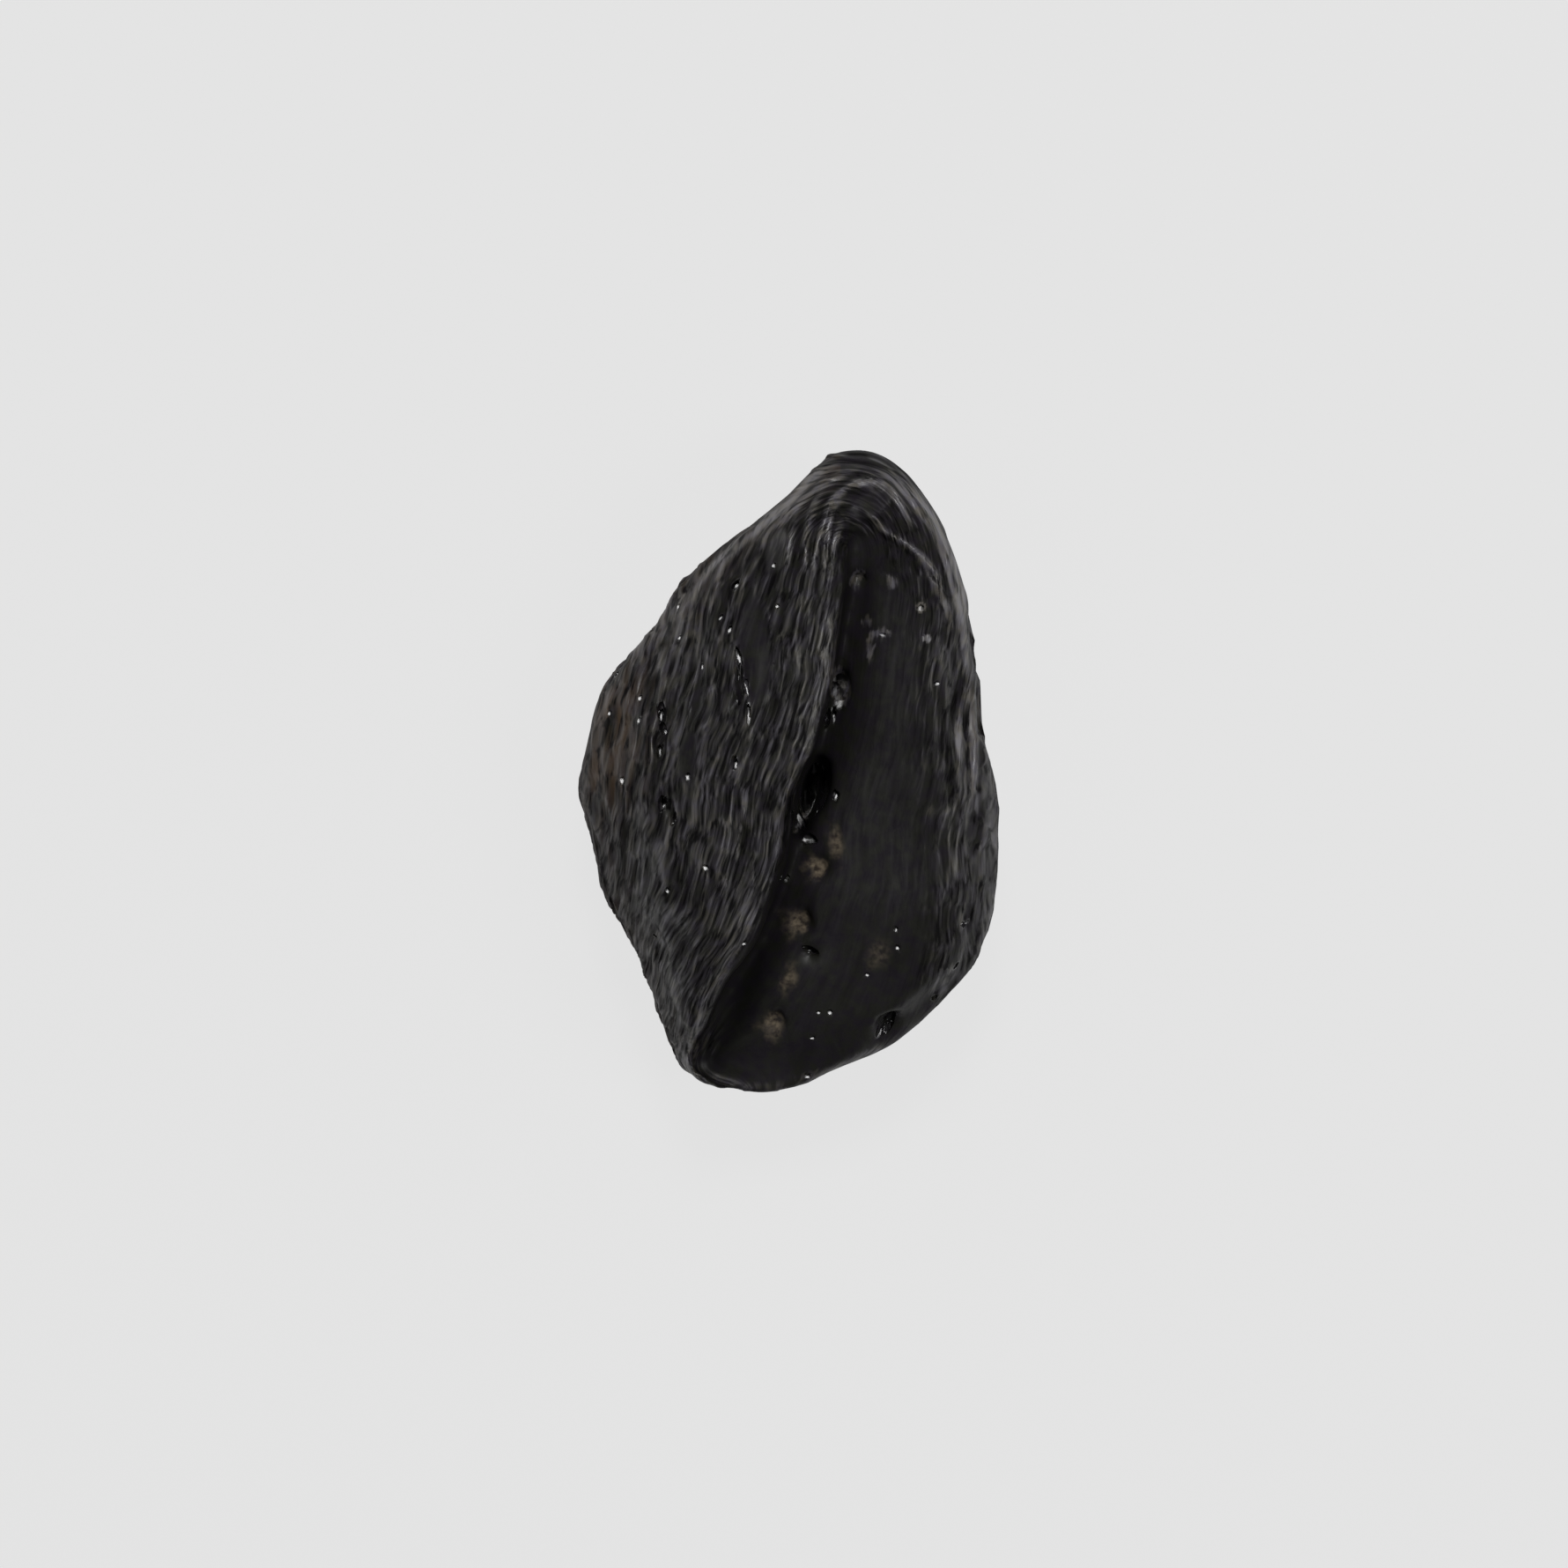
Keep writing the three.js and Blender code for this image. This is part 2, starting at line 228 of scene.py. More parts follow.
stone = bpy.data.objects.new("tektite_stone", solid.data.copy())
bpy.context.scene.collection.objects.link(stone)
stone.data.materials.clear()
stone.data.transform(Matrix.Scale(1 / MM, 4))
only(stone)
bpy.ops.object.mode_set(mode="EDIT")
bpy.ops.mesh.select_all(action="SELECT")
bpy.ops.mesh.remove_doubles(threshold=1e-3)
bpy.ops.object.mode_set(mode="OBJECT")
print("merged copy:", len(stone.data.vertices), "points")

# %% Lay an even net over it
VOXEL = 0.158  # mm
LET_DOWN = 0.8  # mm, how far the underside goes down under the thin lip
LIP_START, LIP_END = 10.4, 11.2  # mm below the middle of the stone
co, normal = points_of(stone)
thin = smoothstep(-co[:, 1], LIP_START, LIP_END) * (co[:, 0] < -0.5) * smoothstep(-normal[:, 2], 0, 0.3)
co[:, 2] -= LET_DOWN * thin
set_points(stone, co)
apply_modifier(stone, "REMESH", mode="VOXEL", voxel_size=VOXEL, adaptivity=0.0)
print("even net:", len(stone.data.polygons), "faces")


# %% [markdown]
# ## The lines of the stone
#
# Four lines are drawn as a few stations each, seen from above. The crest is a sharp curved
# edge from the narrow end down to the blunt one. The outline goes round the stone, and the thin blunt
# end has an edge of its own. The last is the edge of the flow: on this stone the flow runs nearly
# straight down both faces and out over the outline, so its edge lies mostly outside the stone. A
# function measures how far each point is from such a line.

# %% The four lines, and the distance to them
CREST = [(-2.2, -12), (-3.4, -11.1), (-3.45, -10.4), (-3.05, -9.2), (-2.3, -7.4), (-1.4, -6.2),
         (-0.74, -4.5), (-0.08, -2.7), (0.18, -0.85), (0.93, 1), (1.42, 3), (1.77, 5.2), (2.1, 7.2),
         (2.2, 8.3)]
OUTLINE = [(-4.6, -10), (-5.6, -7.5), (-6.5, -5), (-7.3, -2), (-7.4, 0), (-6.9, 2.3), (-5.5, 4.6),
           (-4.4, 6), (-3.1, 7.6), (-1.6, 9.1), (0, 10.2), (1.4, 11.4), (2.8, 11.8), (4.1, 11.3),
           (5.3, 10), (6.1, 8.7), (6.6, 7.2), (7, 5), (7.15, 2.5), (7.4, 0), (7.6, -2.5), (7.5, -5),
           (7.1, -7), (6.3, -9), (5.2, -10.8), (4.2, -12.5)]
BLUNT_EDGE = [(-3.2, -9.9), (-3.5, -10.7), (-3.2, -11.1), (-2.4, -11.4), (-0.75, -11.7),
              (0.65, -11.4), (2, -10.95), (3.4, -10.3)]
FLOW_EDGE = [(-8.6, -12.2), (-7.1, -8.9), (-7, -5.5), (-7.5, -2), (-7.6, 1.1), (-7.5, 3.8),
             (-6.9, 6.3), (-6, 8.9), (-4.4, 11.1), (-2, 12.4), (0.8, 12.9), (3.2, 13.3), (4.7, 12.3),
             (5.8, 10.4), (7.2, 8.7), (7.9, 6.7), (7.8, 4.6), (7.4, 2.5), (7.3, 0.2), (7.6, -2.4),
             (8.2, -4.9), (8.9, -7.5), (8.4, -10.2), (7.3, -12.8)]


def drawn(stations, steps=60):
    """A smooth line through a few stations, as points at even distances along it."""
    rough = np.array(stations, float)
    passed = np.concatenate([[0], np.cumsum(np.hypot(*np.diff(rough, axis=0).T))])
    even = np.linspace(0, passed[-1], steps)
    line = np.column_stack([np.interp(even, passed, column) for column in rough.T])
    for _ in range(2):
        line[1:-1] = (line[:-2] + 2 * line[1:-1] + line[2:]) / 4
    return line


def beside(co, line):
    """How far each point is from a line in plan, and how far along the line that is."""
    start, step = line[:-1], np.diff(line, axis=0)
    length = np.hypot(*step.T)
    passed = np.concatenate([[0], np.cumsum(length)])
    away, along = np.full(len(co), 1e9), np.zeros(len(co))
    for i in range(len(step)):
        offset = co[:, :2] - start[i]
        share = np.clip(offset @ step[i] / length[i] ** 2, 0, 1)
        distance = np.hypot(*(offset - share[:, None] * step[i]).T)
        closer = distance < away
        away[closer] = distance[closer]
        along[closer] = passed[i] + share[closer] * length[i]
    return away, along


crest_line = drawn(CREST)
blunt_edge = drawn(BLUNT_EDGE)
outline = drawn(OUTLINE, 100)
flow_edge = drawn(FLOW_EDGE, 100)


def crest_x(y):
    """How far right the crest is at each y."""
    return np.interp(y, crest_line[:, 1], crest_line[:, 0])


print("crest, mm long:", round(float(np.hypot(*np.diff(crest_line, axis=0).T).sum()), 1))

# %% Smooth the facets away, less beside the crest and at the thin blunt end
SMOOTHING = 21  # passes
CREST_HOLD = 0.85  # how much of the smoothing the crest is spared
co, _ = points_of(stone)
from_crest, _ = beside(co, crest_line)
keep_sharp = (1 - smoothstep(from_crest, 0.1, 0.5)) * (co[:, 2] > 3.5)
keep_sharp *= 1 - smoothstep(co[:, 1], 6.5, 7.5)
keep_sharp = np.maximum(keep_sharp, 0.7 * smoothstep(-co[:, 1], 10.4, 11))
group = stone.vertex_groups.new(name="soft")
for index, share in enumerate(1 - CREST_HOLD * keep_sharp):
    group.add([index], share, "REPLACE")
apply_modifier(stone, "SMOOTH", factor=0.5, iterations=SMOOTHING, vertex_group="soft")
stone.vertex_groups.clear()
print("smoothed; the crest keeps", int((keep_sharp > 0.5).sum()), "points")

# %% [markdown]
# ## Fine where it is looked at
#
# Ridges need a dense mesh, and the smooth hollow and the underside don't. So the ridged part of the
# upper side is divided once more, and the underside is thinned out to a fifth of its faces.

# %% Choose faces by their place
def select_faces(obj, chosen):
    """Selects the faces that chosen marks with True, and nothing else."""
    only(obj)
    bpy.ops.object.mode_set(mode="EDIT")
    bpy.ops.mesh.select_mode(type="FACE")
    bpy.ops.mesh.select_all(action="DESELECT")
    bpy.ops.object.mode_set(mode="OBJECT")
    obj.data.polygons.foreach_set("select", chosen)


def faces_of(obj):
    """The centres of a mesh's faces and their normals."""
    centre = np.empty(len(obj.data.polygons) * 3, np.float32)
    obj.data.polygons.foreach_get("center", centre)
    normal = np.empty_like(centre)
    obj.data.polygons.foreach_get("normal", normal)
    return centre.reshape(-1, 3).astype(float), normal.reshape(-1, 3).astype(float)


def hollow_share(co):
    """1 on the floor of the hollow and 0 outside."""
    from_crest, _ = beside(co, crest_line)
    from_rim, _ = beside(co, outline)
    right = co[:, 0] > crest_x(co[:, 1])
    below_hood = 1 - smoothstep(co[:, 1] + 0.75 * np.abs(co[:, 0] - 2.6), 8.6, 9.6)
    inside = smoothstep(from_crest, 0, 0.2) * smoothstep(from_rim, 1.1, 3.3)
    high = smoothstep(co[:, 2] + 2.5 * smoothstep(-co[:, 1], 6.5, 9), 3.0, 4.0)
    return inside * right * below_hood * high


centre, facing = faces_of(stone)
upper = (facing[:, 2] > 0.12) & (centre[:, 2] > 2)
select_faces(stone, upper & (hollow_share(centre) < 0.6))
bpy.ops.object.mode_set(mode="EDIT")
bpy.ops.mesh.subdivide(number_cuts=1, smoothness=0)
bpy.ops.object.mode_set(mode="OBJECT")
apply_modifier(stone, "SMOOTH", factor=0.5, iterations=2)
print("ridged part divided:", len(stone.data.polygons), "faces")

# %% Thin out the underside
UNDERSIDE_SHARE = 0.2
co, normal = points_of(stone)
under = smoothstep(-normal[:, 2], 0.0, 0.1) + (co[:, 2] < 0.5)
group = stone.vertex_groups.new(name="under")
group.add(np.nonzero(under > 0.5)[0].tolist(), 1.0, "REPLACE")
under_faces = int((under > 0.5).sum())
left_over = 1 - under_faces * (1 - UNDERSIDE_SHARE) / len(stone.data.polygons)
apply_modifier(stone, "DECIMATE", ratio=left_over, vertex_group="under")
stone.vertex_groups.clear()
print("underside thinned:", len(stone.data.polygons), "faces")


# %% [markdown]
# ## The flow
#
# The glass was still soft when it flew, and later the soil etched it along its layers. Both drew out
# lines that run beside the crest, spread towards the outline, and arch over the narrow end. So every
# point gets a place in the flow: how far it is across it, how high, and how far along it. All the
# ridges are then drawn in those coordinates. Under the outline the lines turn level and run round the
# stone, and a little noise makes all of them wander.

# %% Each point's place in the flow
FLOW_WIDTH = 6.5  # mm from the crest to the edge, in the flow's own measure
NARROWING = 0.35  # how far the lines draw together where the face gets narrow
HOOD_MIDDLE = (2.8, 7.2)  # the lines arch over the narrow end round this place
HOOD_RADIUS = 3.0
WALL_TOP = 4.3  # mm, the height where the lines start to turn level
SOFTNESS = 0.6  # mm
WEAVE = 0.075  # how far the lines wander, mm


def grain(place, seed=0):
    """Smooth noise between about -1 and 1 at each row of place."""
    shifted = place + np.array([17.3, 5.1, 29.7]) * (seed + 1)
    return np.array([noise.noise(row) for row in shifted.tolist()])


def soft_distance(co, line):
    """The distance from a line in plan, without the creases where two parts of it are as near."""
    nearness = np.zeros(len(co))
    for point in line:
        nearness += np.exp(-np.hypot(*(co[:, :2] - point).T) / SOFTNESS)
    return np.maximum(1 - SOFTNESS * np.log(nearness), 0.05)


def flow_of(co):
    """Where each point is in the flow: across it, up, and along it, all in mm."""
    inner, outer = beside(co, crest_line)[0], soft_distance(co, flow_edge)
    width = np.maximum(inner + outer, 1.0)
    across = inner / width * FLOW_WIDTH * (width / FLOW_WIDTH) ** NARROWING
    across += np.maximum(WALL_TOP - co[:, 2], 0)
    across += WEAVE * grain(co / 0.9, seed=5) + 2.5 * WEAVE * grain(co / 3.1, seed=6)
    right, up = co[:, 0] - HOOD_MIDDLE[0], co[:, 1] - HOOD_MIDDLE[1]
    round_hood = HOOD_RADIUS * (math.pi / 2 - np.abs(np.arctan2(up, right) - math.pi / 2))
    along = HOOD_MIDDLE[1] + np.where(up > 0, round_hood, up)
    return np.column_stack([across, co[:, 2] / 8, along + 5 * WEAVE * grain(co / 0.7, seed=7)])


def net(place, wall, seed=0):
    """A net of walls round long cells: 1 on the walls and 0 inside the cells."""
    shifted = place + np.array([31.9, 11.7, 7.3]) * (seed + 1)
    gap = np.array([np.subtract(*noise.voronoi(row)[0][1::-1]) for row in shifted.tolist()])
    return 1 - smoothstep(gap, 0, wall)


# %% [markdown]
# ## Where the skin is smooth, and where glints are painted
#
# The hollow is one smooth scoop, with only a few faint streaks in it. There are smooth panels on the
# fluted face too, like windows between the ridges. In a few small patches pale glints are painted: in
# one bubble, at the top of the hollow and as a streak on the wall of the large bubble. All of these
# are drawn as turned ovals with soft edges, because they are single places and not a pattern.

# %% The smooth panels and the painted glints
PANELS = [  # smooth places on the skin: x, y, half length, half width, turn in degrees
    (-1.15, 4.5, 2.2, 0.55, 3),
    (-0.35, 8.2, 0.9, 0.42, -12),
    (3.1, 9.9, 0.45, 0.95, 25),
    (-3.6, 0.6, 1.0, 0.3, -5),
    (4, -9.2, 1.7, 1.1, -50),
    (2.75, 7.75, 1.15, 0.9, -20),
]
PAINTED_GLINTS = [  # painted glints: pale patches in one bubble, at the top of the hollow and on a bubble wall
    (1.95, 3.25, 0.75, 0.42, 10), (2.6, 7.2, 0.4, 0.2, -35), (3.9, 7.05, 0.3, 0.16, 15),
    (3.45, 5.15, 0.18, 0.42, 0), (2.95, 5.6, 0.18, 0.24, 0), (4.95, 6.1, 0.2, 0.2, 0),
    (5.2, 4.95, 0.15, 0.17, 0), (3.1, 4.6, 0.6, 0.16, -5), (0.6, -1.78, 0.58, 0.1, -31),
]


def patch_share(co, patches):
    """1 inside the patches and 0 outside, with soft edges."""
    share = np.zeros(len(co))
    for x, y, length, width, turn in patches:
        angle = math.radians(turn)
        dx, dy = co[:, 0] - x, co[:, 1] - y
        across = dx * math.cos(angle) + dy * math.sin(angle)
        along = dy * math.cos(angle) - dx * math.sin(angle)
        inside = 1 - smoothstep(np.hypot(across / width, along / length), 0.75, 1.15)
        share = np.maximum(share, inside * (co[:, 2] > 3))
    return share


print("smooth panels:", len(PANELS), "and crushed patches:", len(PAINTED_GLINTS))


# %% [markdown]
# ## The lips of the hood
#
# At the narrow end the flow arches over the hollow like a hood, and its folds stand up as sharp lips
# with dark gaps between them. They are single forms that anyone would notice, so they aren't left to
# chance: each one is drawn as a line. The skin rises to a narrow ridge along it, and the finer ridges
# die out beside it.

# %% Draw the lips
LIPS = [  # each lip's stations, from its left end over the top to its right end
    [(-1.8, 8.2), (-0.77, 9.3), (0, 9.9), (0.84, 10.85), (1.41, 11.2), (2.3, 11.55)],
    [(-2.9, 4.2), (-2.1, 5.6), (-1.65, 6.8), (-1.05, 7.9), (-0.67, 8.85), (0, 9.42), (0.75, 10.2),
     (1.22, 10.56), (2.08, 10.94), (2.9, 11.4)],
    [(-0.75, 4.2), (-0.4, 5.8), (-0.1, 7), (0.09, 8.3), (0.32, 9.1), (0.23, 9.9)],
    [(0.1, 3.6), (0.5, 6.2), (0.72, 7.5), (0.7, 8.56), (0.89, 9.23), (1.13, 10.1), (1.6, 10.62)],
    [(0.7, 4.6), (0.95, 6.9), (1.13, 8.4), (1.41, 9.23), (1.6, 9.95), (2.08, 10.37), (2.6, 10.72),
     (3.31, 10.8), (3.75, 10.5), (4.17, 9.95), (4.55, 9.23), (5.2, 8.6)],
    [(1.2, 5.6), (1.4, 7.6), (1.55, 9.1), (1.72, 9.8), (2.05, 10.02), (2.5, 9.95), (2.9, 9.7)],
    [(1.45, 5.2), (1.6, 7), (1.78, 8.5), (1.98, 9.15), (2.3, 9.38), (2.7, 9.3)],
    [(2.5, 10), (3.12, 9.42), (3.6, 8.9), (4.3, 8.5), (4.93, 8), (5.5, 7.3), (5.9, 6.3)],
    [(2.84, 11.35), (3.6, 11.1), (4.3, 10.5), (4.74, 9.85), (5.4, 9.1), (5.75, 8.18), (6.1, 7.04),
     (6.4, 6.2), (6.6, 4.8), (6.7, 2.8)],
    [(3.6, 11.4), (4.93, 10.2), (5.5, 9.3), (6.1, 8), (6.5, 6.9), (6.85, 5.2)],
    [(4.93, 7.8), (5.5, 6.85), (5.95, 6.1), (6.1, 4.6)],
    [(6.5, 3), (6.35, 1.3), (6.6, -0.4)],
    [(6.75, 2.9), (6.95, 1.2), (6.95, 0), (6.85, -1.8)],
    [(-0.9, 6.75), (-0.69, 5.9), (-0.41, 4.8)],
    [(-1.9, 4.5), (-1.47, 3), (-1.47, 1.8)],
    [(-2.85, 4.6), (-2.68, 6.6), (-2.34, 7.78), (-1.5, 8.63), (-0.48, 9.47), (0.6, 10.4)],
    [(-3.9, 5.2), (-3.6, 6.1), (-3.03, 7.3), (-2.1, 8.3), (-1.3, 9)],
]
LIP = {"height": 0.24, "half_width": 0.13, "taper": 1.7}  # mm


def lip_share(co, half_width):
    """1 on the lips, falling to 0 beside them and towards their ends."""
    share = np.zeros(len(co))
    for stations in LIPS:
        line = drawn(stations, 40)
        away, along = beside(co, line)
        length = np.hypot(*np.diff(line, axis=0).T).sum()
        taper = smoothstep(np.minimum(along, length - along), 0, min(LIP["taper"], 0.5 * length))
        share = np.maximum(share, taper * np.exp(-(away / half_width) ** 2))
    return share * (co[:, 2] > 4)


print("lips:", len(LIPS))


# %% [markdown]
# ## The flow ridges
#
# On this stone the ridges are 0.3 to 0.6 mm apart and about 0.1 mm high, and they part and meet again
# round long narrow cells. A Voronoi pattern that is stretched along the flow does just that: its cell
# walls are the ridges. A coarse net lies over a fine one, and each point is moved along its normal.
# The masks keep the smooth places smooth, and make the ridges bold on the rim and the hood.

# %% Sculpt the ridges
COARSE = {"apart": 0.8, "length": 4.4, "wall": 0.42, "height": 0.17}  # mm, and wall in cells
FINE = {"apart": 0.45, "length": 2.6, "wall": 0.45, "height": 0.085}
SWELL = {"apart": 1.5, "length": 6.0, "height": 0.08}
MOTTLE = {"apart": 0.45, "height": 0.035}  # soft unevenness at the top of the hollow


def stretched(flow, size):
    """The places in the flow, in cells of the given size."""
    return flow / np.array([size["apart"], size["apart"], size["length"]])


def wall_share(normal):
    """1 on steep walls and 0 on level skin."""
    return 1 - smoothstep(normal[:, 2], 0.15, 0.6)


def both_nets(flow):
    """The coarse net of ridges and the fine one, at each place in the flow."""
    return (net(stretched(flow, COARSE), COARSE["wall"], 1),
            net(stretched(flow, FINE), FINE["wall"], 2))


def bold_share(co, from_outline):
    """1 where the ridges are bold: along the right rim, on the left shoulder and on the hood."""
    near = 1 - smoothstep(from_outline, 0.9, 2.4)
    rim = near * (co[:, 0] > 3) * smoothstep(co[:, 1], -3, 2)
    shoulder = near * (co[:, 0] < 3) * smoothstep(co[:, 1], 3, 5)
    return np.maximum(np.maximum(rim, shoulder), smoothstep(co[:, 1], 6, 8))


def rim_fade(co):
    """1 where the rim passes into the hollow, and 0 at the outline and outside."""
    from_rim, _ = beside(co, outline)
    beside_hollow = smoothstep(co[:, 0], 1.5, 3.5) * (1 - smoothstep(co[:, 1], 6, 8))
    low = 0.8 * smoothstep(-co[:, 1], 5, 8)
    return np.maximum(smoothstep(from_rim, 0.6, 1.6), low) * beside_hollow


def end_share(co):
    """1 at the thin blunt end, which the ridges don't reach. On the left face they run further."""
    left = co[:, 0] < crest_x(co[:, 1]) - 0.15
    return smoothstep(-co[:, 1] - 0.7 * left, 10, 10.8)


co, normal = points_of(stone)
flow = flow_of(co)
from_outline, _ = beside(co, outline)
from_crest, _ = beside(co, crest_line)
hollow = hollow_share(co)
worn = 1 - smoothstep(co[:, 2], 0.02, 0.6)
end = end_share(co)
ridged = (1 - 0.92 * hollow) * (1 - 0.6 * rim_fade(co)) * (1 - 0.9 * patch_share(co, PANELS))
ridged = ridged * (1 - worn) * (1 - end)
ridged *= 1 - 0.8 * lip_share(co, 0.5)
bold = bold_share(co, from_outline)
patchy = 0.8 + 0.4 * smoothstep(grain(co / 2.6, seed=8), -0.3, 0.3)
coarse, fine = both_nets(flow)
height = ridged * patchy * ((0.45 + 0.6 * bold) * COARSE["height"] * coarse + FINE["height"] * fine)
height -= ridged * 0.5 * FINE["height"]
height += (1 - worn) * (1 - end) * (1 - 0.75 * hollow) * SWELL["height"] * grain(stretched(flow, SWELL), 3)
near_crest = (1 - smoothstep(from_crest, 0.6, 3)) * smoothstep(co[:, 1], -11, -6)
height += hollow * (0.3 + 0.7 * near_crest) * MOTTLE["height"] * grain(co / MOTTLE["apart"], seed=10)
on_hood = np.maximum(smoothstep(co[:, 1], 6, 10), co[:, 0] > 4.5)
lip = lip_share(co, LIP["half_width"]) * (0.35 + 0.65 * on_hood)
lip *= 0.4 + 0.6 * smoothstep(from_outline, 0.1, 0.8)
height += LIP["height"] * lip * (0.9 + 0.4 * grain(co / 0.8, seed=9))
set_points(stone, co + normal * height[:, None])
print("ridges, mm:", height.min().round(3), "to", height.max().round(3))

# %% [markdown]
# ## The bubbles
#
# The glass was full of gas bubbles, and where the surface was worn away they stand open. A bubble is
# a clean round hole with a crisp edge and a glossy wall, and no displacement makes such an edge. So
# each one is a ball that is stretched, turned to lie on the skin, and cut out with a boolean. The
# large ones sit in a row along the foot of the crest. Some are filled with soil up to the skin, so
# they aren't cut: their place is only kept, and the soil gets its colour later.
#
# Where the edge of a ridge or a bubble has broken, a small flat chip is left. A chip flashes when it
# mirrors a light, so each one is a flattened, uneven ball that faces half way between the lamp and
# straight up. Two of them are on walls that the lamp doesn't reach, and face the right-hand soft box
# in the same way. A few round pinholes on the sides are left to chance, with a fixed seed.

# %% A list of the bubbles
BUBBLES = [  # x, y, half length, half width, depth, turn in degrees, share of soil
    (1.98, 3.25, 0.72, 0.4, 0.14, 10, 0), (1.54, 2.0, 0.42, 0.11, 0.2, 8, 0),
    (1.1, -0.75, 1.3, 0.58, 0.42, 5, 0), (0.24, -1.78, 0.42, 0.17, 0.3, -20, 0),
    (1.84, -0.86, 0.22, 0.13, 0.12, 10, 0),
    (1.23, -3.52, 0.42, 0.36, 0.03, 5, 1), (1.78, -2.55, 0.5, 0.2, 0.03, -12, 0.7),
    (0.57, -5.48, 0.5, 0.45, 0.03, 20, 0.9), (0.08, -7.68, 0.45, 0.2, 0.03, 15, 0.7),
    (-0.41, -9.25, 0.5, 0.38, 0.03, 20, 0.8), (-0.2, -3.9, 0.18, 0.16, 0.14, 10, 0),
    (0.9, -6.55, 0.16, 0.34, 0.18, 20, 0), (3.42, -6.7, 0.45, 0.28, 0.03, 10, 0.35),
    (3.8, -9.25, 0.55, 0.2, 0.22, 25, 0), (6.63, -5.58, 0.3, 0.08, 0.08, 62, 0),
    (-4.62, 2.3, 0.36, 0.17, 0.2, 0, 0), (-4.52, 1.62, 0.27, 0.14, 0.16, -15, 0),
    (-4.66, 0.86, 0.34, 0.14, 0.18, 5, 0), (-4.55, -1.12, 0.34, 0.16, 0.2, 5, 0),
    (-4.15, -1.72, 0.3, 0.15, 0.22, 35, 0), (-1.9, 0.36, 0.28, 0.14, 0.18, 5, 0),
    (-1.68, 3.2, 1.5, 0.17, 0.16, -7, 0), (-1.85, 6.93, 0.24, 0.14, 0.16, 15, 0),
    (5.5, -8.35, 0.14, 0.12, 0.12, 0, 0), (6.3, -7.15, 0.2, 0.1, 0.12, 10, 0),
]
CHIPS = [  # x, y, half length, half width, turn in degrees: flat chips that catch the lamp
    (4.11, -6.47, 0.13, 0.11, 0), (4.05, -5.8, 0.15, 0.09, 20), (1.2, -8.89, 0.1, 0.09, 0),
    (1.62, -8.89, 0.14, 0.12, 0), (3.0, -7.48, 0.1, 0.1, 0), (0.97, -9.84, 0.14, 0.12, 0),
    (0.8, -11.3, 0.15, 0.12, 0), (4.96, 6.07, 0.14, 0.11, 30), (5.58, 3.29, 0.16, 0.1, 80),
    (-5.42, 2.77, 0.15, 0.13, 10), (-5.45, 1.95, 0.17, 0.12, -10), (-6.07, -0.28, 0.16, 0.14, 0),
    (-3.62, -0.15, 0.17, 0.14, 0), (-3.09, 3.91, 0.13, 0.1, 20), (-6.56, 2.21, 0.12, 0.1, 0),
    (-2.96, -3.49, 0.14, 0.13, 0), (-0.47, 7.61, 0.13, 0.12, 0), (-2.41, 5.71, 0.16, 0.08, 40),
    (-4.01, 6.15, 0.15, 0.12, 0), (-3.95, 4.99, 0.12, 0.11, 0), (-2.08, 5.26, 0.2, 0.09, 30),
    (-0.34, 6.11, 0.1, 0.1, 0), (-4.37, -4.34, 0.14, 0.11, 0), (-1.56, -6.27, 0.14, 0.12, 0),
    (-4.85, -6.04, 0.12, 0.1, 0), (0.8, -2.45, 0.22, 0.4, 12), (1.78, 2.1, 0.38, 0.08, 3),
    (2.08, 3.62, 0.36, 0.3, -20), (1.78, 3.1, 0.3, 0.22, 5), (1.95, 2.62, 0.34, 0.24, 15),
    (0.02, -3.92, 0.18, 0.15, 0), (1.84, -0.8, 0.26, 0.13, 5), (3.52, -9.5, 0.5, 0.13, 22),
    (-4.6, 2.1, 0.26, 0.1, 5), (-4.42, 1.5, 0.15, 0.1, -30), (-4.65, 0.8, 0.24, 0.1, 0),
    (-4.5, -1.1, 0.28, 0.12, 8), (-1.83, 0.3, 0.2, 0.09, 5), (-1.45, 3.1, 0.45, 0.1, -8),
    (-1.38, 2.1, 0.45, 0.1, 0), (-1.74, 4.25, 0.4, 0.11, -15), (-1.82, 6.9, 0.2, 0.1, 20),
    (0.95, -6.5, 0.12, 0.26, 25), (3.55, 5.1, 0.07, 0.14, 0),
]
SIDE_CHIPS = [  # the same, on walls from where only the right-hand soft box is seen
    (0.56, -1.76, 0.58, 0.15, -27), (6.55, -5.6, 0.1, 0.3, 27),
]
UNSEEN = 14  # round pinholes on the sides, where their places are chance
print("bubbles:", len(BUBBLES), "chips:", len(CHIPS) + len(SIDE_CHIPS), "pinholes:", UNSEEN)


# %% Turn the list into balls that lie on the skin
BALL_RISE = 0.25  # how far a ball's middle stands above the skin, for each millimetre of depth
RAY_SPREAD = 0.15  # mm, how far round a place the way the skin faces is averaged


def skin_at(tree, origin, direction):
    """Where a ray meets the skin, and the way the skin faces there, averaged over a few rays."""
    hit, facing, _, _ = tree.ray_cast(origin, direction)
    if hit is None:
        return None, None
    side = direction.orthogonal().normalized() * RAY_SPREAD
    for turn in range(6):
        offset = Matrix.Rotation(math.tau * turn / 6, 3, direction) @ side
        _, other, _, _ = tree.ray_cast(origin + offset, direction)
        facing = facing + (other or facing)
    return hit, facing.normalized()


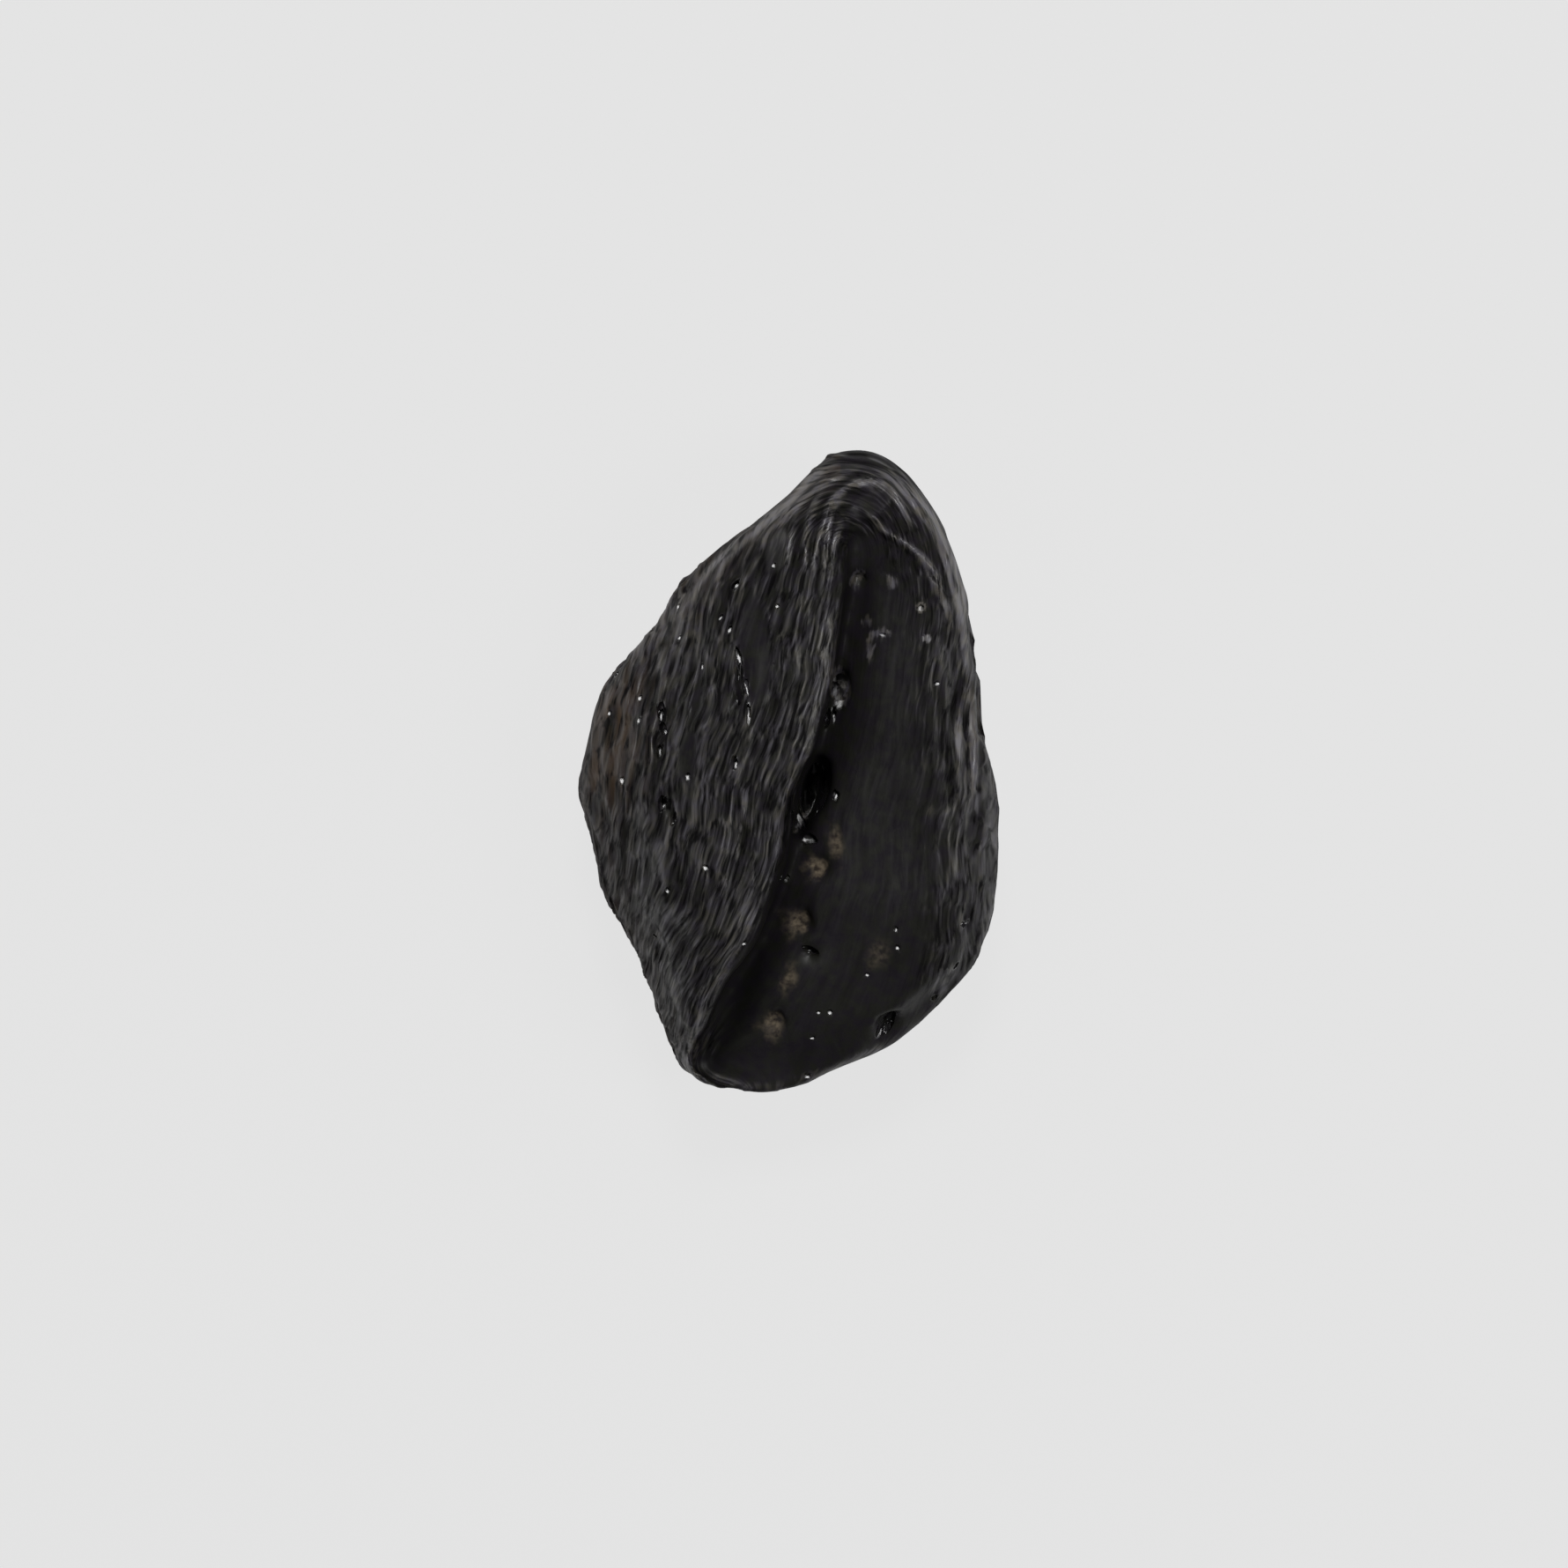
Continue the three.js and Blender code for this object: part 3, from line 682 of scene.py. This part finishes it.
def ball_at(hit, up, half_length, half_width, depth, turn, steps, uneven=0.0, flat=1.0):
    """A ball for a bubble, and the matrix that lays it on the skin. Below 1, flat flattens it."""
    lean = Vector((math.sin(math.radians(turn)), math.cos(math.radians(turn)), 0))
    along = (lean - up * lean.dot(up)).normalized()
    across = along.cross(up)
    high = up * depth * (1 + BALL_RISE)
    laid = Matrix((across * half_width, along * half_length, high)).transposed().to_4x4()
    laid.translation = hit + up * depth * BALL_RISE
    bpy.ops.mesh.primitive_uv_sphere_add(segments=steps, ring_count=steps // 2, radius=1)
    ball = bpy.context.object
    for point in ball.data.vertices:
        point.co.z = math.copysign(abs(point.co.z) ** flat, point.co.z)
        lump = noise.noise(point.co * 1.9 + hit * 5) + 0.5 * noise.noise(point.co * 5 + hit * 5)
        point.co.xy *= 1 + uneven * lump
        point.co.z *= 1 + flat * uneven * lump
    ball.data.transform(laid)
    return ball, laid


def apart(balls):
    """Sorts the balls into a few batches, with no two that touch in one batch."""
    batches = []
    for ball, laid in balls:
        middle, reach = laid.translation, max(column.length for column in laid.to_3x3().col)
        for batch in batches:
            if all((middle - other).length > (reach + size) * 1.3 for _, other, size in batch):
                batch.append((ball, middle, reach))
                break
        else:
            batches.append([(ball, middle, reach)])
    return [[ball for ball, _, _ in batch] for batch in batches]


def cut_out(obj, balls):
    """Cuts the balls out of obj and deletes them."""
    bpy.ops.object.select_all(action="DESELECT")
    for ball in balls:
        ball.select_set(True)
    bpy.context.view_layer.objects.active = balls[0]
    bpy.ops.object.join()
    cutter = bpy.context.object
    apply_modifier(obj, "BOOLEAN", operation="DIFFERENCE", solver="MANIFOLD", object=cutter)
    bpy.data.objects.remove(cutter)


# %% Cut the bubbles
DOWN = Vector((0, 0, -1))
ABOVE = 20  # mm, the height from which the skin is looked for
UPTURN = 0.7  # how far a bubble's mouth turns from the skin towards straight up
BUBBLE_UNEVENNESS = 0.25
before = len(stone.data.polygons)
skin = BVHTree.FromObject(stone, bpy.context.evaluated_depsgraph_get())
holes = []  # how each hole lies, and its share of soil
balls = []
for x, y, half_length, half_width, depth, turn, soil in BUBBLES:
    hit, up = skin_at(skin, Vector((x, y, ABOVE)), DOWN)
    up = (up + Vector((0, 0, UPTURN))).normalized()
    steps = 40 if half_length > 0.7 else 28 if half_length > 0.3 else 20
    half_width /= max(up.z, 0.6)  # so that a leaning bubble keeps its width, seen from above
    ball, laid = ball_at(hit, up, half_length, half_width, depth, turn, steps, BUBBLE_UNEVENNESS)
    holes.append((laid, soil))
    if soil:  # it lies level with the skin, so nothing is cut
        bpy.data.objects.remove(ball)
    else:
        balls.append((ball, laid))
for batch in apart(balls):
    cut_out(stone, batch)
print("bubbles cut:", len(balls), "of", len(holes), "and faces:", before, "to", len(stone.data.polygons))

# %% Cut the chips and the pinholes
GLINT = (LAMP.normalized() + Vector((0, 0, 1))).normalized()  # mirrors the lamp straight up
SIDE_GLINT = (RIGHT_BOX.normalized() + Vector((0, 0, 1))).normalized()
CHIP_DEPTH = 0.36  # for each millimetre of its half length
SIDE_CHIP_SHARE = 0.6  # how deep a side chip is, beside another of its size
CHIP_FLATNESS = 0.12
CHIP_UNEVENNESS = 0.4
CHIP_STEPS, PINHOLE_STEPS = 16, 14
dice = random.Random(11)
skin = BVHTree.FromObject(stone, bpy.context.evaluated_depsgraph_get())
small = []
for index, (x, y, half_length, half_width, turn) in enumerate(CHIPS + SIDE_CHIPS):
    at_lamp = index < len(CHIPS)
    hit, _ = skin_at(skin, Vector((x, y, ABOVE)), DOWN)
    lean = Vector((dice.uniform(-0.03, 0.03), dice.uniform(-0.03, 0.03), 0))
    up = ((GLINT if at_lamp else SIDE_GLINT) + lean).normalized()
    depth = CHIP_DEPTH * max(half_length, half_width) * (1 if at_lamp else SIDE_CHIP_SHARE)
    ball, laid = ball_at(hit, up, half_length, half_width, depth, turn, CHIP_STEPS, CHIP_UNEVENNESS,
                         CHIP_FLATNESS)
    small.append(ball)
    holes.append((laid, 0))
for _ in range(UNSEEN):
    turn, y, z = dice.uniform(0, math.tau), dice.uniform(-7, 8), dice.uniform(2, 4.5)
    out = Vector((math.cos(turn), 0.6 * math.sin(turn), 0)).normalized()
    hit, up = skin_at(skin, Vector((0, y * abs(out.x), z)) + out * 30, -out)
    radius = dice.uniform(0.1, 0.24)
    ball, laid = ball_at(hit, up, radius * 1.25, radius, radius * 0.8, 15, PINHOLE_STEPS)
    small.append(ball)
    holes.append((laid, 0))
cut_out(stone, small)
print("chips and pinholes cut:", len(small), "and faces:", len(stone.data.polygons))

# %% [markdown]
# ## Marks for the glass
#
# The glass is one material, but its finish changes from place to place. What changes it is worked out
# for each point of the mesh and stored there, where the shader can read it. The first marks say
# where a bubble's wall is, where soil lies, and where the skin is calm, with no ridges to speak of.
# The soil has no sharp edge: it thins out over the skin round its bubble in uneven lumps.

# %% The walls of the bubbles, and the soil
SOIL_REACH = 1.9  # in radii of its bubble
SOIL_LUMP = 0.35  # mm

co, normal = points_of(stone)
bubble = np.zeros(len(co))
soil = np.zeros(len(co))
for laid, share in holes:
    local = (co - np.array(laid.translation)) @ np.array(laid.to_3x3().inverted()).T
    inside = 1 - smoothstep(np.linalg.norm(local, axis=1), 1.06, 1.2)
    bubble = np.maximum(bubble, inside * (share == 0))
    uneven = grain(co / SOIL_LUMP, seed=12) if share else 0
    spread = SOIL_REACH - np.linalg.norm(local * (1, 1, 0.3), axis=1) + uneven
    soil = np.maximum(soil, share * smoothstep(spread, 0, 1.7))
# Painted glints: pale patches where glints show. They are not glossy bubble walls.
painted_glint = patch_share(co, PAINTED_GLINTS)
bubble *= 1 - painted_glint
print("points on bubble walls:", int((bubble > 0.5).sum()), "with soil:", int((soil > 0.5).sum()))

# %% Where the skin is calm
CALM = 0.85  # of the hollow and the smooth panels

flow = flow_of(co)
hollow = hollow_share(co)
from_crest, _ = beside(co, crest_line)
from_outline, _ = beside(co, outline)
hood = smoothstep(co[:, 1], 6, 8.6) * (1 - hollow)
panels = patch_share(co, PANELS)
calm = CALM * np.maximum(hollow, panels)
calm = np.maximum(calm, end_share(co))
slope = smoothstep(co[:, 0] - crest_x(co[:, 1]), 0, 0.3) * smoothstep(-co[:, 1], 4, 6)
calm = np.maximum(calm, slope * smoothstep(from_outline, 1.5, 2.5))
calm = np.maximum(calm, hollow * smoothstep(co[:, 1], 5.5, 7))
calm = np.maximum(calm, 0.1 * hood)
print("calm points:", int((calm > 0.5).sum()), "of", len(calm))

# %% [markdown]
# ## Rubbed crowns and painted highlights
#
# The crowns of the ridges stand highest, so they are rubbed to a pale satin first, and the pale
# colour also paints the sheen of the lit ridges. A band along the crest, on its left side, and the rim
# of the thin blunt end are painted highlights, and the lips of the hood are painted the brightest of
# all. The ridge nets say where the crowns are, so the pale lines follow the sculpted ridges.

# %% How far the crowns are rubbed, and the painted highlights
RUBBED_AND_SHEEN = 0.66  # rubbed wear and painted sheen, on a full crown of the fine net
CREST_BAND_HIGHLIGHT = 1.05  # painted highlight along the crest
# Painted highlight on the lips
LIPS_HIGHLIGHT = 0.9
HOOD_LIPS_HIGHLIGHT = 1.1  # more painted highlight on the lips, on the hood and on the right
LIP_SHADE_REACH = 0.45  # mm, how far the painted shade beside a lip reaches

coarse, fine = both_nets(flow)
# Painted shade beside the lips: the crowns there are less pale, and the gap shade is stronger.
shade_beside_lips = 0.8 * lip_share(co, LIP_SHADE_REACH)
# Pale crowns: partly rubbed wear, partly painted sheen of the lit ridges.
crown_and_highlight = RUBBED_AND_SHEEN * np.maximum(0.7 * coarse, fine) * (1 - calm) * (1 - shade_beside_lips)
crown_and_highlight *= 1 - 0.5 * rim_fade(co)
crown_and_highlight = crown_and_highlight ** (1 + hood) * (1 - 0.45 * hood)
crown_and_highlight = np.maximum(crown_and_highlight, 0.6 * panels * hood)
# A painted highlight in a band along the left side of the crest.
left_of_crest = crest_x(co[:, 1]) + 0.25 * smoothstep(co[:, 1], 2, 4) - co[:, 0]
on_left = smoothstep(left_of_crest, 0, 0.1) * (1 - smoothstep(co[:, 1], 5, 7))
crest_highlight = on_left * (1 - smoothstep(from_crest, 0.3, 0.9))
crest_highlight *= CREST_BAND_HIGHLIGHT + 0.9 * grain(stretched(flow, FINE), 14)
crown_and_highlight = np.maximum(crown_and_highlight, crest_highlight)
# Less painted sheen low on the left edge.
low_left = (1 - smoothstep(from_outline, 0.3, 1.8)) * (co[:, 0] < 0) * smoothstep(-co[:, 1], 0, 4)
crown_and_highlight *= 1 - 0.5 * low_left
# A painted highlight along the thin blunt edge.
from_blunt, _ = beside(co, blunt_edge)
blunt_edge_highlight = np.exp(-(from_blunt / 0.2) ** 2) * smoothstep(normal[:, 2], 0, 0.3)
crown_and_highlight = np.maximum(crown_and_highlight, blunt_edge_highlight * (1 + grain(co / 0.5, seed=15)))
# Painted highlights on the lips, the brightest on the hood and on the right.
on_hood = np.maximum(hood * smoothstep(co[:, 1], 7, 9.5), co[:, 0] > 4.5)
lip_highlight = LIPS_HIGHLIGHT + HOOD_LIPS_HIGHLIGHT * on_hood
crown_and_highlight = np.maximum(crown_and_highlight, lip_highlight * lip_share(co, LIP["half_width"]))
print("rubbed points:", int((crown_and_highlight > 0.5).sum()), "and the most:", crown_and_highlight.max().round(2))

# %% [markdown]
# ## Shade, painted glints and the stain
#
# Little of the light gets down between the bold ridges and the lips, to the foot of the crest, onto
# steep walls and along the low end of the right rim. The sculpted gaps are shallower than real ones,
# so the mark takes the gloss away there as well, as painted shade. The painted glints are the
# opposite: they are painted as pale as frost, and nothing shades them. The brown at the left edge is
# made as a thin stain from the ground.

# %% What lies in shade
bold = bold_share(co, from_outline)
gap = np.maximum(bold * (1 - hollow), shade_beside_lips)
gap *= np.clip(1 - crown_and_highlight, 0, 1)
foot = hollow * (1 - smoothstep(from_crest, 0.7, 1.8)) * (1 - smoothstep(co[:, 1], 6.4, 7.6))
low_rim = 1 - smoothstep(np.minimum(from_outline, from_blunt), 0.5, 2)
low_rim *= smoothstep(co[:, 0], 0, 1) * smoothstep(-co[:, 1], 7, 9)
shade = 1 - (1 - 0.8 * foot) * (1 - 0.8 * gap) * (1 - 0.9 * wall_share(normal)) * (1 - 0.5 * low_rim)
# Nothing shades the painted glints.
shade *= 1 - painted_glint
print("points in shade:", int((shade > 0.5).sum()))

# %% The painted glints and the brown stain
# How pale the painted glints are, and how fine their grain is, in mm.
PAINTED_GLINT_STRENGTH = 2.6
PAINTED_GLINT_GRAIN = 0.16  # mm

# The painted glints are painted pale, as highlights.
crown_and_highlight = np.maximum(crown_and_highlight, painted_glint * (PAINTED_GLINT_STRENGTH + 3.5 * grain(co / PAINTED_GLINT_GRAIN, seed=13)))
# More painted sheen on the bold ridges along the outline.
crown_and_highlight *= 1 + bold * (1 - smoothstep(from_outline, 0.6, 1.6)) * (1 - 0.7 * hood)
brown = (1 - smoothstep(from_outline, 0, 3.2)) * smoothstep(-co[:, 0], 3.6, 6.2)
brown *= 1 - smoothstep(np.abs(co[:, 1] - 1), 0.5, 4.5)
brown = np.maximum(brown, 0.35 * (1 - smoothstep(from_outline, 0, 1.5)) * (co[:, 0] < 2))
print("crushed points:", int((painted_glint > 0.5).sum()), "and stained:", int((brown > 0.5).sum()))


# %% Store the marks on the points
def store(obj, name, values):
    """Keeps a number or a vector for each point of the mesh, for the material to read."""
    kind = "FLOAT_VECTOR" if values.ndim == 2 else "FLOAT"
    layer = obj.data.attributes.new(name, kind, "POINT")
    layer.data.foreach_set("vector" if values.ndim == 2 else "value", values.astype(np.float32).ravel())


MARKS = {"crown_and_highlight": crown_and_highlight, "shade": shade, "bubble": bubble, "soil": soil, "calm": calm, "brown": brown}
store(stone, "flow", flow)
for name, values in MARKS.items():
    store(stone, name, values)
print("marks stored:", 1 + len(MARKS))

# %% [markdown]
# ## The glass
#
# Tektite glass is black: it is as clear as bottle glass only in a thin splinter. Long burial etched
# it, so its skin is satin and not glossy, with strands and grit too fine for the mesh. Those are made
# in the shader, as a Voronoi net and a noise that are stretched along the flow as the ridges are.
# Real strands are finer still: they are drawn as coarse as they need to be to show.

# %% Read the marks, and make the fine strands
GLASS_IOR = 1.5
STRAND = {"apart": 0.27, "length": 2.2, "height": 0.016}  # mm
GRIT = {"apart": 0.105, "length": 0.75}

glass, tree = new_material("tektite_glass")
position = add_node(tree, "ShaderNodeTexCoord").outputs["Object"]
flow_mark = add_node(tree, "ShaderNodeAttribute", {"attribute_name": "flow"}).outputs["Vector"]
marks = {}
for name in MARKS:
    marks[name] = add_node(tree, "ShaderNodeAttribute", {"attribute_name": name}).outputs["Fac"]

cells = (1 / STRAND["apart"], 1 / STRAND["apart"], 1 / STRAND["length"])
strand_cells = add_node(tree, "ShaderNodeVectorMath", {"operation": "MULTIPLY"}, i0=flow_mark, i1=cells)
strand_net = add_node(tree, "ShaderNodeTexVoronoi", {"feature": "DISTANCE_TO_EDGE"},
                      Vector=strand_cells.outputs[0], Scale=1.0)
strand = add_node(tree, "ShaderNodeMapRange", {"interpolation_type": "SMOOTHSTEP"},
                  Value=strand_net.outputs["Distance"], From_Max=0.24, To_Min=1.0, To_Max=0.0)
strand_cell = add_node(tree, "ShaderNodeTexVoronoi", Vector=strand_cells.outputs[0], Scale=1.0)
fibre = add_node(tree, "ShaderNodeTexNoise", Vector=strand_cells.outputs[0], Scale=1.3, Detail=3.0)
fine_cells = add_node(tree, "ShaderNodeVectorMath", {"operation": "MULTIPLY"}, i0=flow_mark,
                      i1=(1 / GRIT["apart"], 1 / GRIT["apart"], 1 / GRIT["length"]))
grit = add_node(tree, "ShaderNodeTexNoise", Vector=fine_cells.outputs[0], Scale=1.0, Detail=2.0)
skin_height = add_node(tree, "ShaderNodeMath", {"operation": "MULTIPLY_ADD"},
                       i0=grit.outputs["Fac"], i1=1.2, i2=strand.outputs[0])
outside_bubbles = add_node(tree, "ShaderNodeMapRange", Value=marks["bubble"], To_Min=1.0, To_Max=0.0)
where_ridged = add_node(tree, "ShaderNodeMapRange", Value=marks["calm"], To_Min=1.0, To_Max=0.1)
skin_share = add_node(tree, "ShaderNodeMath", {"operation": "MULTIPLY"},
                      i0=outside_bubbles.outputs[0], i1=where_ridged.outputs[0])
relief = add_node(tree, "ShaderNodeBump", Strength=skin_share.outputs[0],
                  Height=skin_height.outputs[0], Distance=STRAND["height"] * MM)
print("strand nodes:", len(tree.nodes))

# %% [markdown]
# ## The colours of the glass and of the soil
#
# The glass is black all through, a little cooler in one patch and a little warmer in the next. Where
# it is rubbed, it is ground glass, which is pale because its fine scratches scatter the light; the same
# pale colour also paints the sheen of the lit ridges, the highlights and the glints. Narrow slits
# between the strands are painted blacker than the skin, as painted shade. The soil is a dry, reddish
# brown crumb.

# %% Pale crowns with painted sheen, slits with painted shade, stain and soil
BLACK_GLASS = ("#201d22", "#1e1e1a")  # cool and warm
GROUND_GLASS_AND_SHEEN = ("#5e5b64", "#655f57")  # cool and warm: ground glass on rubbed crowns, which also paints their sheen
# Painted shade for the narrow slits between the strands.
SLIT_SHADE_BLACK = "#0e0d0e"
BROWN_STAIN = "#47382a"
DRY_SOIL = ("#2f2924", "#746959")  # dark and light crumbs
FROST_AND_SHEEN = 0.65  # how much ground glass and painted sheen the palest crown shows

fading = add_node(tree, "ShaderNodeMapRange", Value=fibre.outputs["Fac"], From_Min=0.36,
                  From_Max=0.64, To_Min=0.0, To_Max=1.1)
faded_strand = add_node(tree, "ShaderNodeMath", {"operation": "MULTIPLY"},
                        i0=strand.outputs[0], i1=fading.outputs[0])
seen_strand = add_node(tree, "ShaderNodeMath", {"operation": "MULTIPLY"},
                       i0=faded_strand.outputs[0], i1=where_ridged.outputs[0])
crowns_with_sheen = add_node(tree, "ShaderNodeMath", {"operation": "ADD"},
                  i0=marks["crown_and_highlight"], i1=seen_strand.outputs[0])
least_grit = add_node(tree, "ShaderNodeMapRange", Value=marks["crown_and_highlight"], From_Min=1.4,
                      From_Max=2.6, To_Min=0.25, To_Max=0.55)
gritty = add_node(tree, "ShaderNodeMapRange", Value=grit.outputs["Fac"], From_Min=0.36,
                  From_Max=0.64, To_Min=least_grit.outputs[0], To_Max=1.6)
rubbed_and_sheen = add_node(tree, "ShaderNodeMath", {"operation": "MULTIPLY"},
                  i0=crowns_with_sheen.outputs[0], i1=gritty.outputs[0])
# Ground glass on the crowns, whose pale colour also paints their sheen and the highlights.
frost_and_sheen_share = add_node(tree, "ShaderNodeMapRange", Value=rubbed_and_sheen.outputs[0], From_Min=0.5,
                   From_Max=2.8, To_Min=0.0, To_Max=FROST_AND_SHEEN)

# The slits are painted near black and lose their gloss, as painted shade in the grooves.
slit_shade = add_node(tree, "ShaderNodeMapRange", Value=grit.outputs["Fac"], From_Min=0.35,
                From_Max=0.49, To_Min=0.07)
outside_slit_shade = add_node(tree, "ShaderNodeMix", i0=marks["calm"], i2=slit_shade.outputs[0], i3=1.0)
tint = add_node(tree, "ShaderNodeTexNoise", Vector=position, Scale=2.2 / MM, Detail=3.0)
black = add_node(tree, "ShaderNodeValToRGB", Fac=tint.outputs["Fac"])
frost_sheen_colour = add_node(tree, "ShaderNodeValToRGB", Fac=tint.outputs["Fac"])
with_slit_shade = add_node(tree, "ShaderNodeMix", {"data_type": "RGBA"}, i0=outside_slit_shade.outputs[0],
                      i6=linear(SLIT_SHADE_BLACK), i7=black.outputs["Color"])
with_frost_and_sheen = add_node(tree, "ShaderNodeMix", {"data_type": "RGBA"}, i0=frost_and_sheen_share.outputs[0],
                      i6=with_slit_shade.outputs[2], i7=frost_sheen_colour.outputs["Color"])
stain = add_node(tree, "ShaderNodeMapRange", Value=fibre.outputs["Fac"], From_Min=0.35,
                 From_Max=0.65, To_Max=slit_shade.outputs[0])
stained = add_node(tree, "ShaderNodeMath", {"operation": "MULTIPLY"},
                   i0=marks["brown"], i1=stain.outputs[0])
with_brown = add_node(tree, "ShaderNodeMix", {"data_type": "RGBA"}, i0=stained.outputs[0],
                      i6=with_frost_and_sheen.outputs[2], i7=linear(BROWN_STAIN))
crumb = add_node(tree, "ShaderNodeTexNoise", Vector=position, Scale=4 / MM, Detail=3.0)
soil_colour = add_node(tree, "ShaderNodeValToRGB", Fac=crumb.outputs["Fac"])
for ramp, places, tones in ((black, (0.38, 0.62), BLACK_GLASS), (frost_sheen_colour, (0.38, 0.62), GROUND_GLASS_AND_SHEEN),
                            (soil_colour, (0.36, 0.64), DRY_SOIL)):
    for element, place, tone in zip(ramp.color_ramp.elements, places, tones):
        element.position = place
        element.color = linear(tone)
colour = add_node(tree, "ShaderNodeMix", {"data_type": "RGBA"}, i0=marks["soil"],
                  i6=with_brown.outputs[2], i7=soil_colour.outputs["Color"])
print("colour nodes:", len(tree.nodes))

# %% [markdown]
# ## The finish
#
# Black glass is seen by its gloss, so the gloss does more here than the colour. The crowns of the
# ridges are rubbed brighter than the floors of the cells, which also paints their sheen, and the calm
# skin lies between them. Only the bubble walls, which the soil never reached, still have the gloss of
# fresh glass. In the slits and wherever the shade mark lies, the gloss is taken down as painted
# shade, and soil is dull.

# %% Satin crowns with painted sheen, painted shade on the floors, glossy bubbles and dry soil
# The gloss of the crowns also paints their sheen, and the shade mark takes gloss away as painted shade.
GLOSS = {"cell": 0.05, "calm": 0.21, "crown_and_highlight": 0.62, "bubble": 0.36, "soil": 0.08}
ROUGHNESS = {"floor": 0.46, "crown_and_highlight": 0.4, "bubble": 0.14, "soil": 0.9}

cell_tone = add_node(tree, "ShaderNodeMapRange", Value=strand_cell.outputs["Color"],
                     To_Min=0.2 * GLOSS["cell"], To_Max=1.8 * GLOSS["cell"])
# The slits take the gloss of the cell floors away too, as painted shade.
slit_shade_gloss = add_node(tree, "ShaderNodeMath", {"operation": "MULTIPLY"},
                     i0=cell_tone.outputs[0], i1=outside_slit_shade.outputs[0])
clouds = add_node(tree, "ShaderNodeMath", {"operation": "ADD"},
                  i0=tint.outputs["Fac"], i1=fibre.outputs["Fac"])
mottle = add_node(tree, "ShaderNodeMapRange", Value=clouds.outputs[0], From_Min=0.75,
                  From_Max=1.25, To_Min=0.4 * GLOSS["calm"], To_Max=1.6 * GLOSS["calm"])
cell_floor = add_node(tree, "ShaderNodeMix", i0=marks["calm"], i2=slit_shade_gloss.outputs[0],
                      i3=mottle.outputs[0])
skin_gloss = add_node(tree, "ShaderNodeMapRange", {"clamp": False}, Value=rubbed_and_sheen.outputs[0],
                      From_Max=2.0, To_Min=cell_floor.outputs[0], To_Max=GLOSS["crown_and_highlight"])
in_the_open = add_node(tree, "ShaderNodeMapRange", Value=marks["shade"], To_Min=1.0, To_Max=0.1)
open_gloss = add_node(tree, "ShaderNodeMath", {"operation": "MULTIPLY"},
                      i0=skin_gloss.outputs[0], i1=in_the_open.outputs[0])
bubble_gloss = add_node(tree, "ShaderNodeMix", i0=marks["bubble"], i2=open_gloss.outputs[0],
                        i3=GLOSS["bubble"])
gloss = add_node(tree, "ShaderNodeMix", i0=marks["soil"], i2=bubble_gloss.outputs[0],
                 i3=GLOSS["soil"])
skin_roughness = add_node(tree, "ShaderNodeMapRange", Value=marks["crown_and_highlight"],
                          To_Min=ROUGHNESS["floor"], To_Max=ROUGHNESS["crown_and_highlight"])
bubble_roughness = add_node(tree, "ShaderNodeMix", i0=marks["bubble"],
                            i2=skin_roughness.outputs[0], i3=ROUGHNESS["bubble"])
roughness = add_node(tree, "ShaderNodeMix", i0=marks["soil"], i2=bubble_roughness.outputs[0],
                     i3=ROUGHNESS["soil"])
surface = add_node(tree, "ShaderNodeBsdfPrincipled", Base_Color=colour.outputs[2], IOR=GLASS_IOR,
                   Roughness=roughness.outputs[0], Specular_IOR_Level=gloss.outputs[0],
                   Normal=relief.outputs[0])
add_node(tree, "ShaderNodeOutputMaterial", Surface=surface.outputs[0])
print("glass nodes:", len(tree.nodes))

# %% [markdown]
# ## Finish
#
# The stone goes back from millimetres to metres, rides on the model's one body, and stands for the
# solid. Its sharp edges stay sharp, and the rest is shaded smooth.

# %% Back to metres, and hand over
SHARP_FROM = 50  # degrees between two faces

stone.data.transform(Matrix.Scale(MM, 4))
only(stone)
bpy.ops.object.shade_smooth_by_angle(angle=math.radians(SHARP_FROM))
stone.data.materials.clear()
stone.data.polygons.foreach_set("material_index", np.zeros(len(stone.data.polygons), np.int32))
stone.data.materials.append(glass)
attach(stone, "root")
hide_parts("tektite")
print("triangles:", sum(len(face.vertices) - 2 for face in stone.data.polygons))
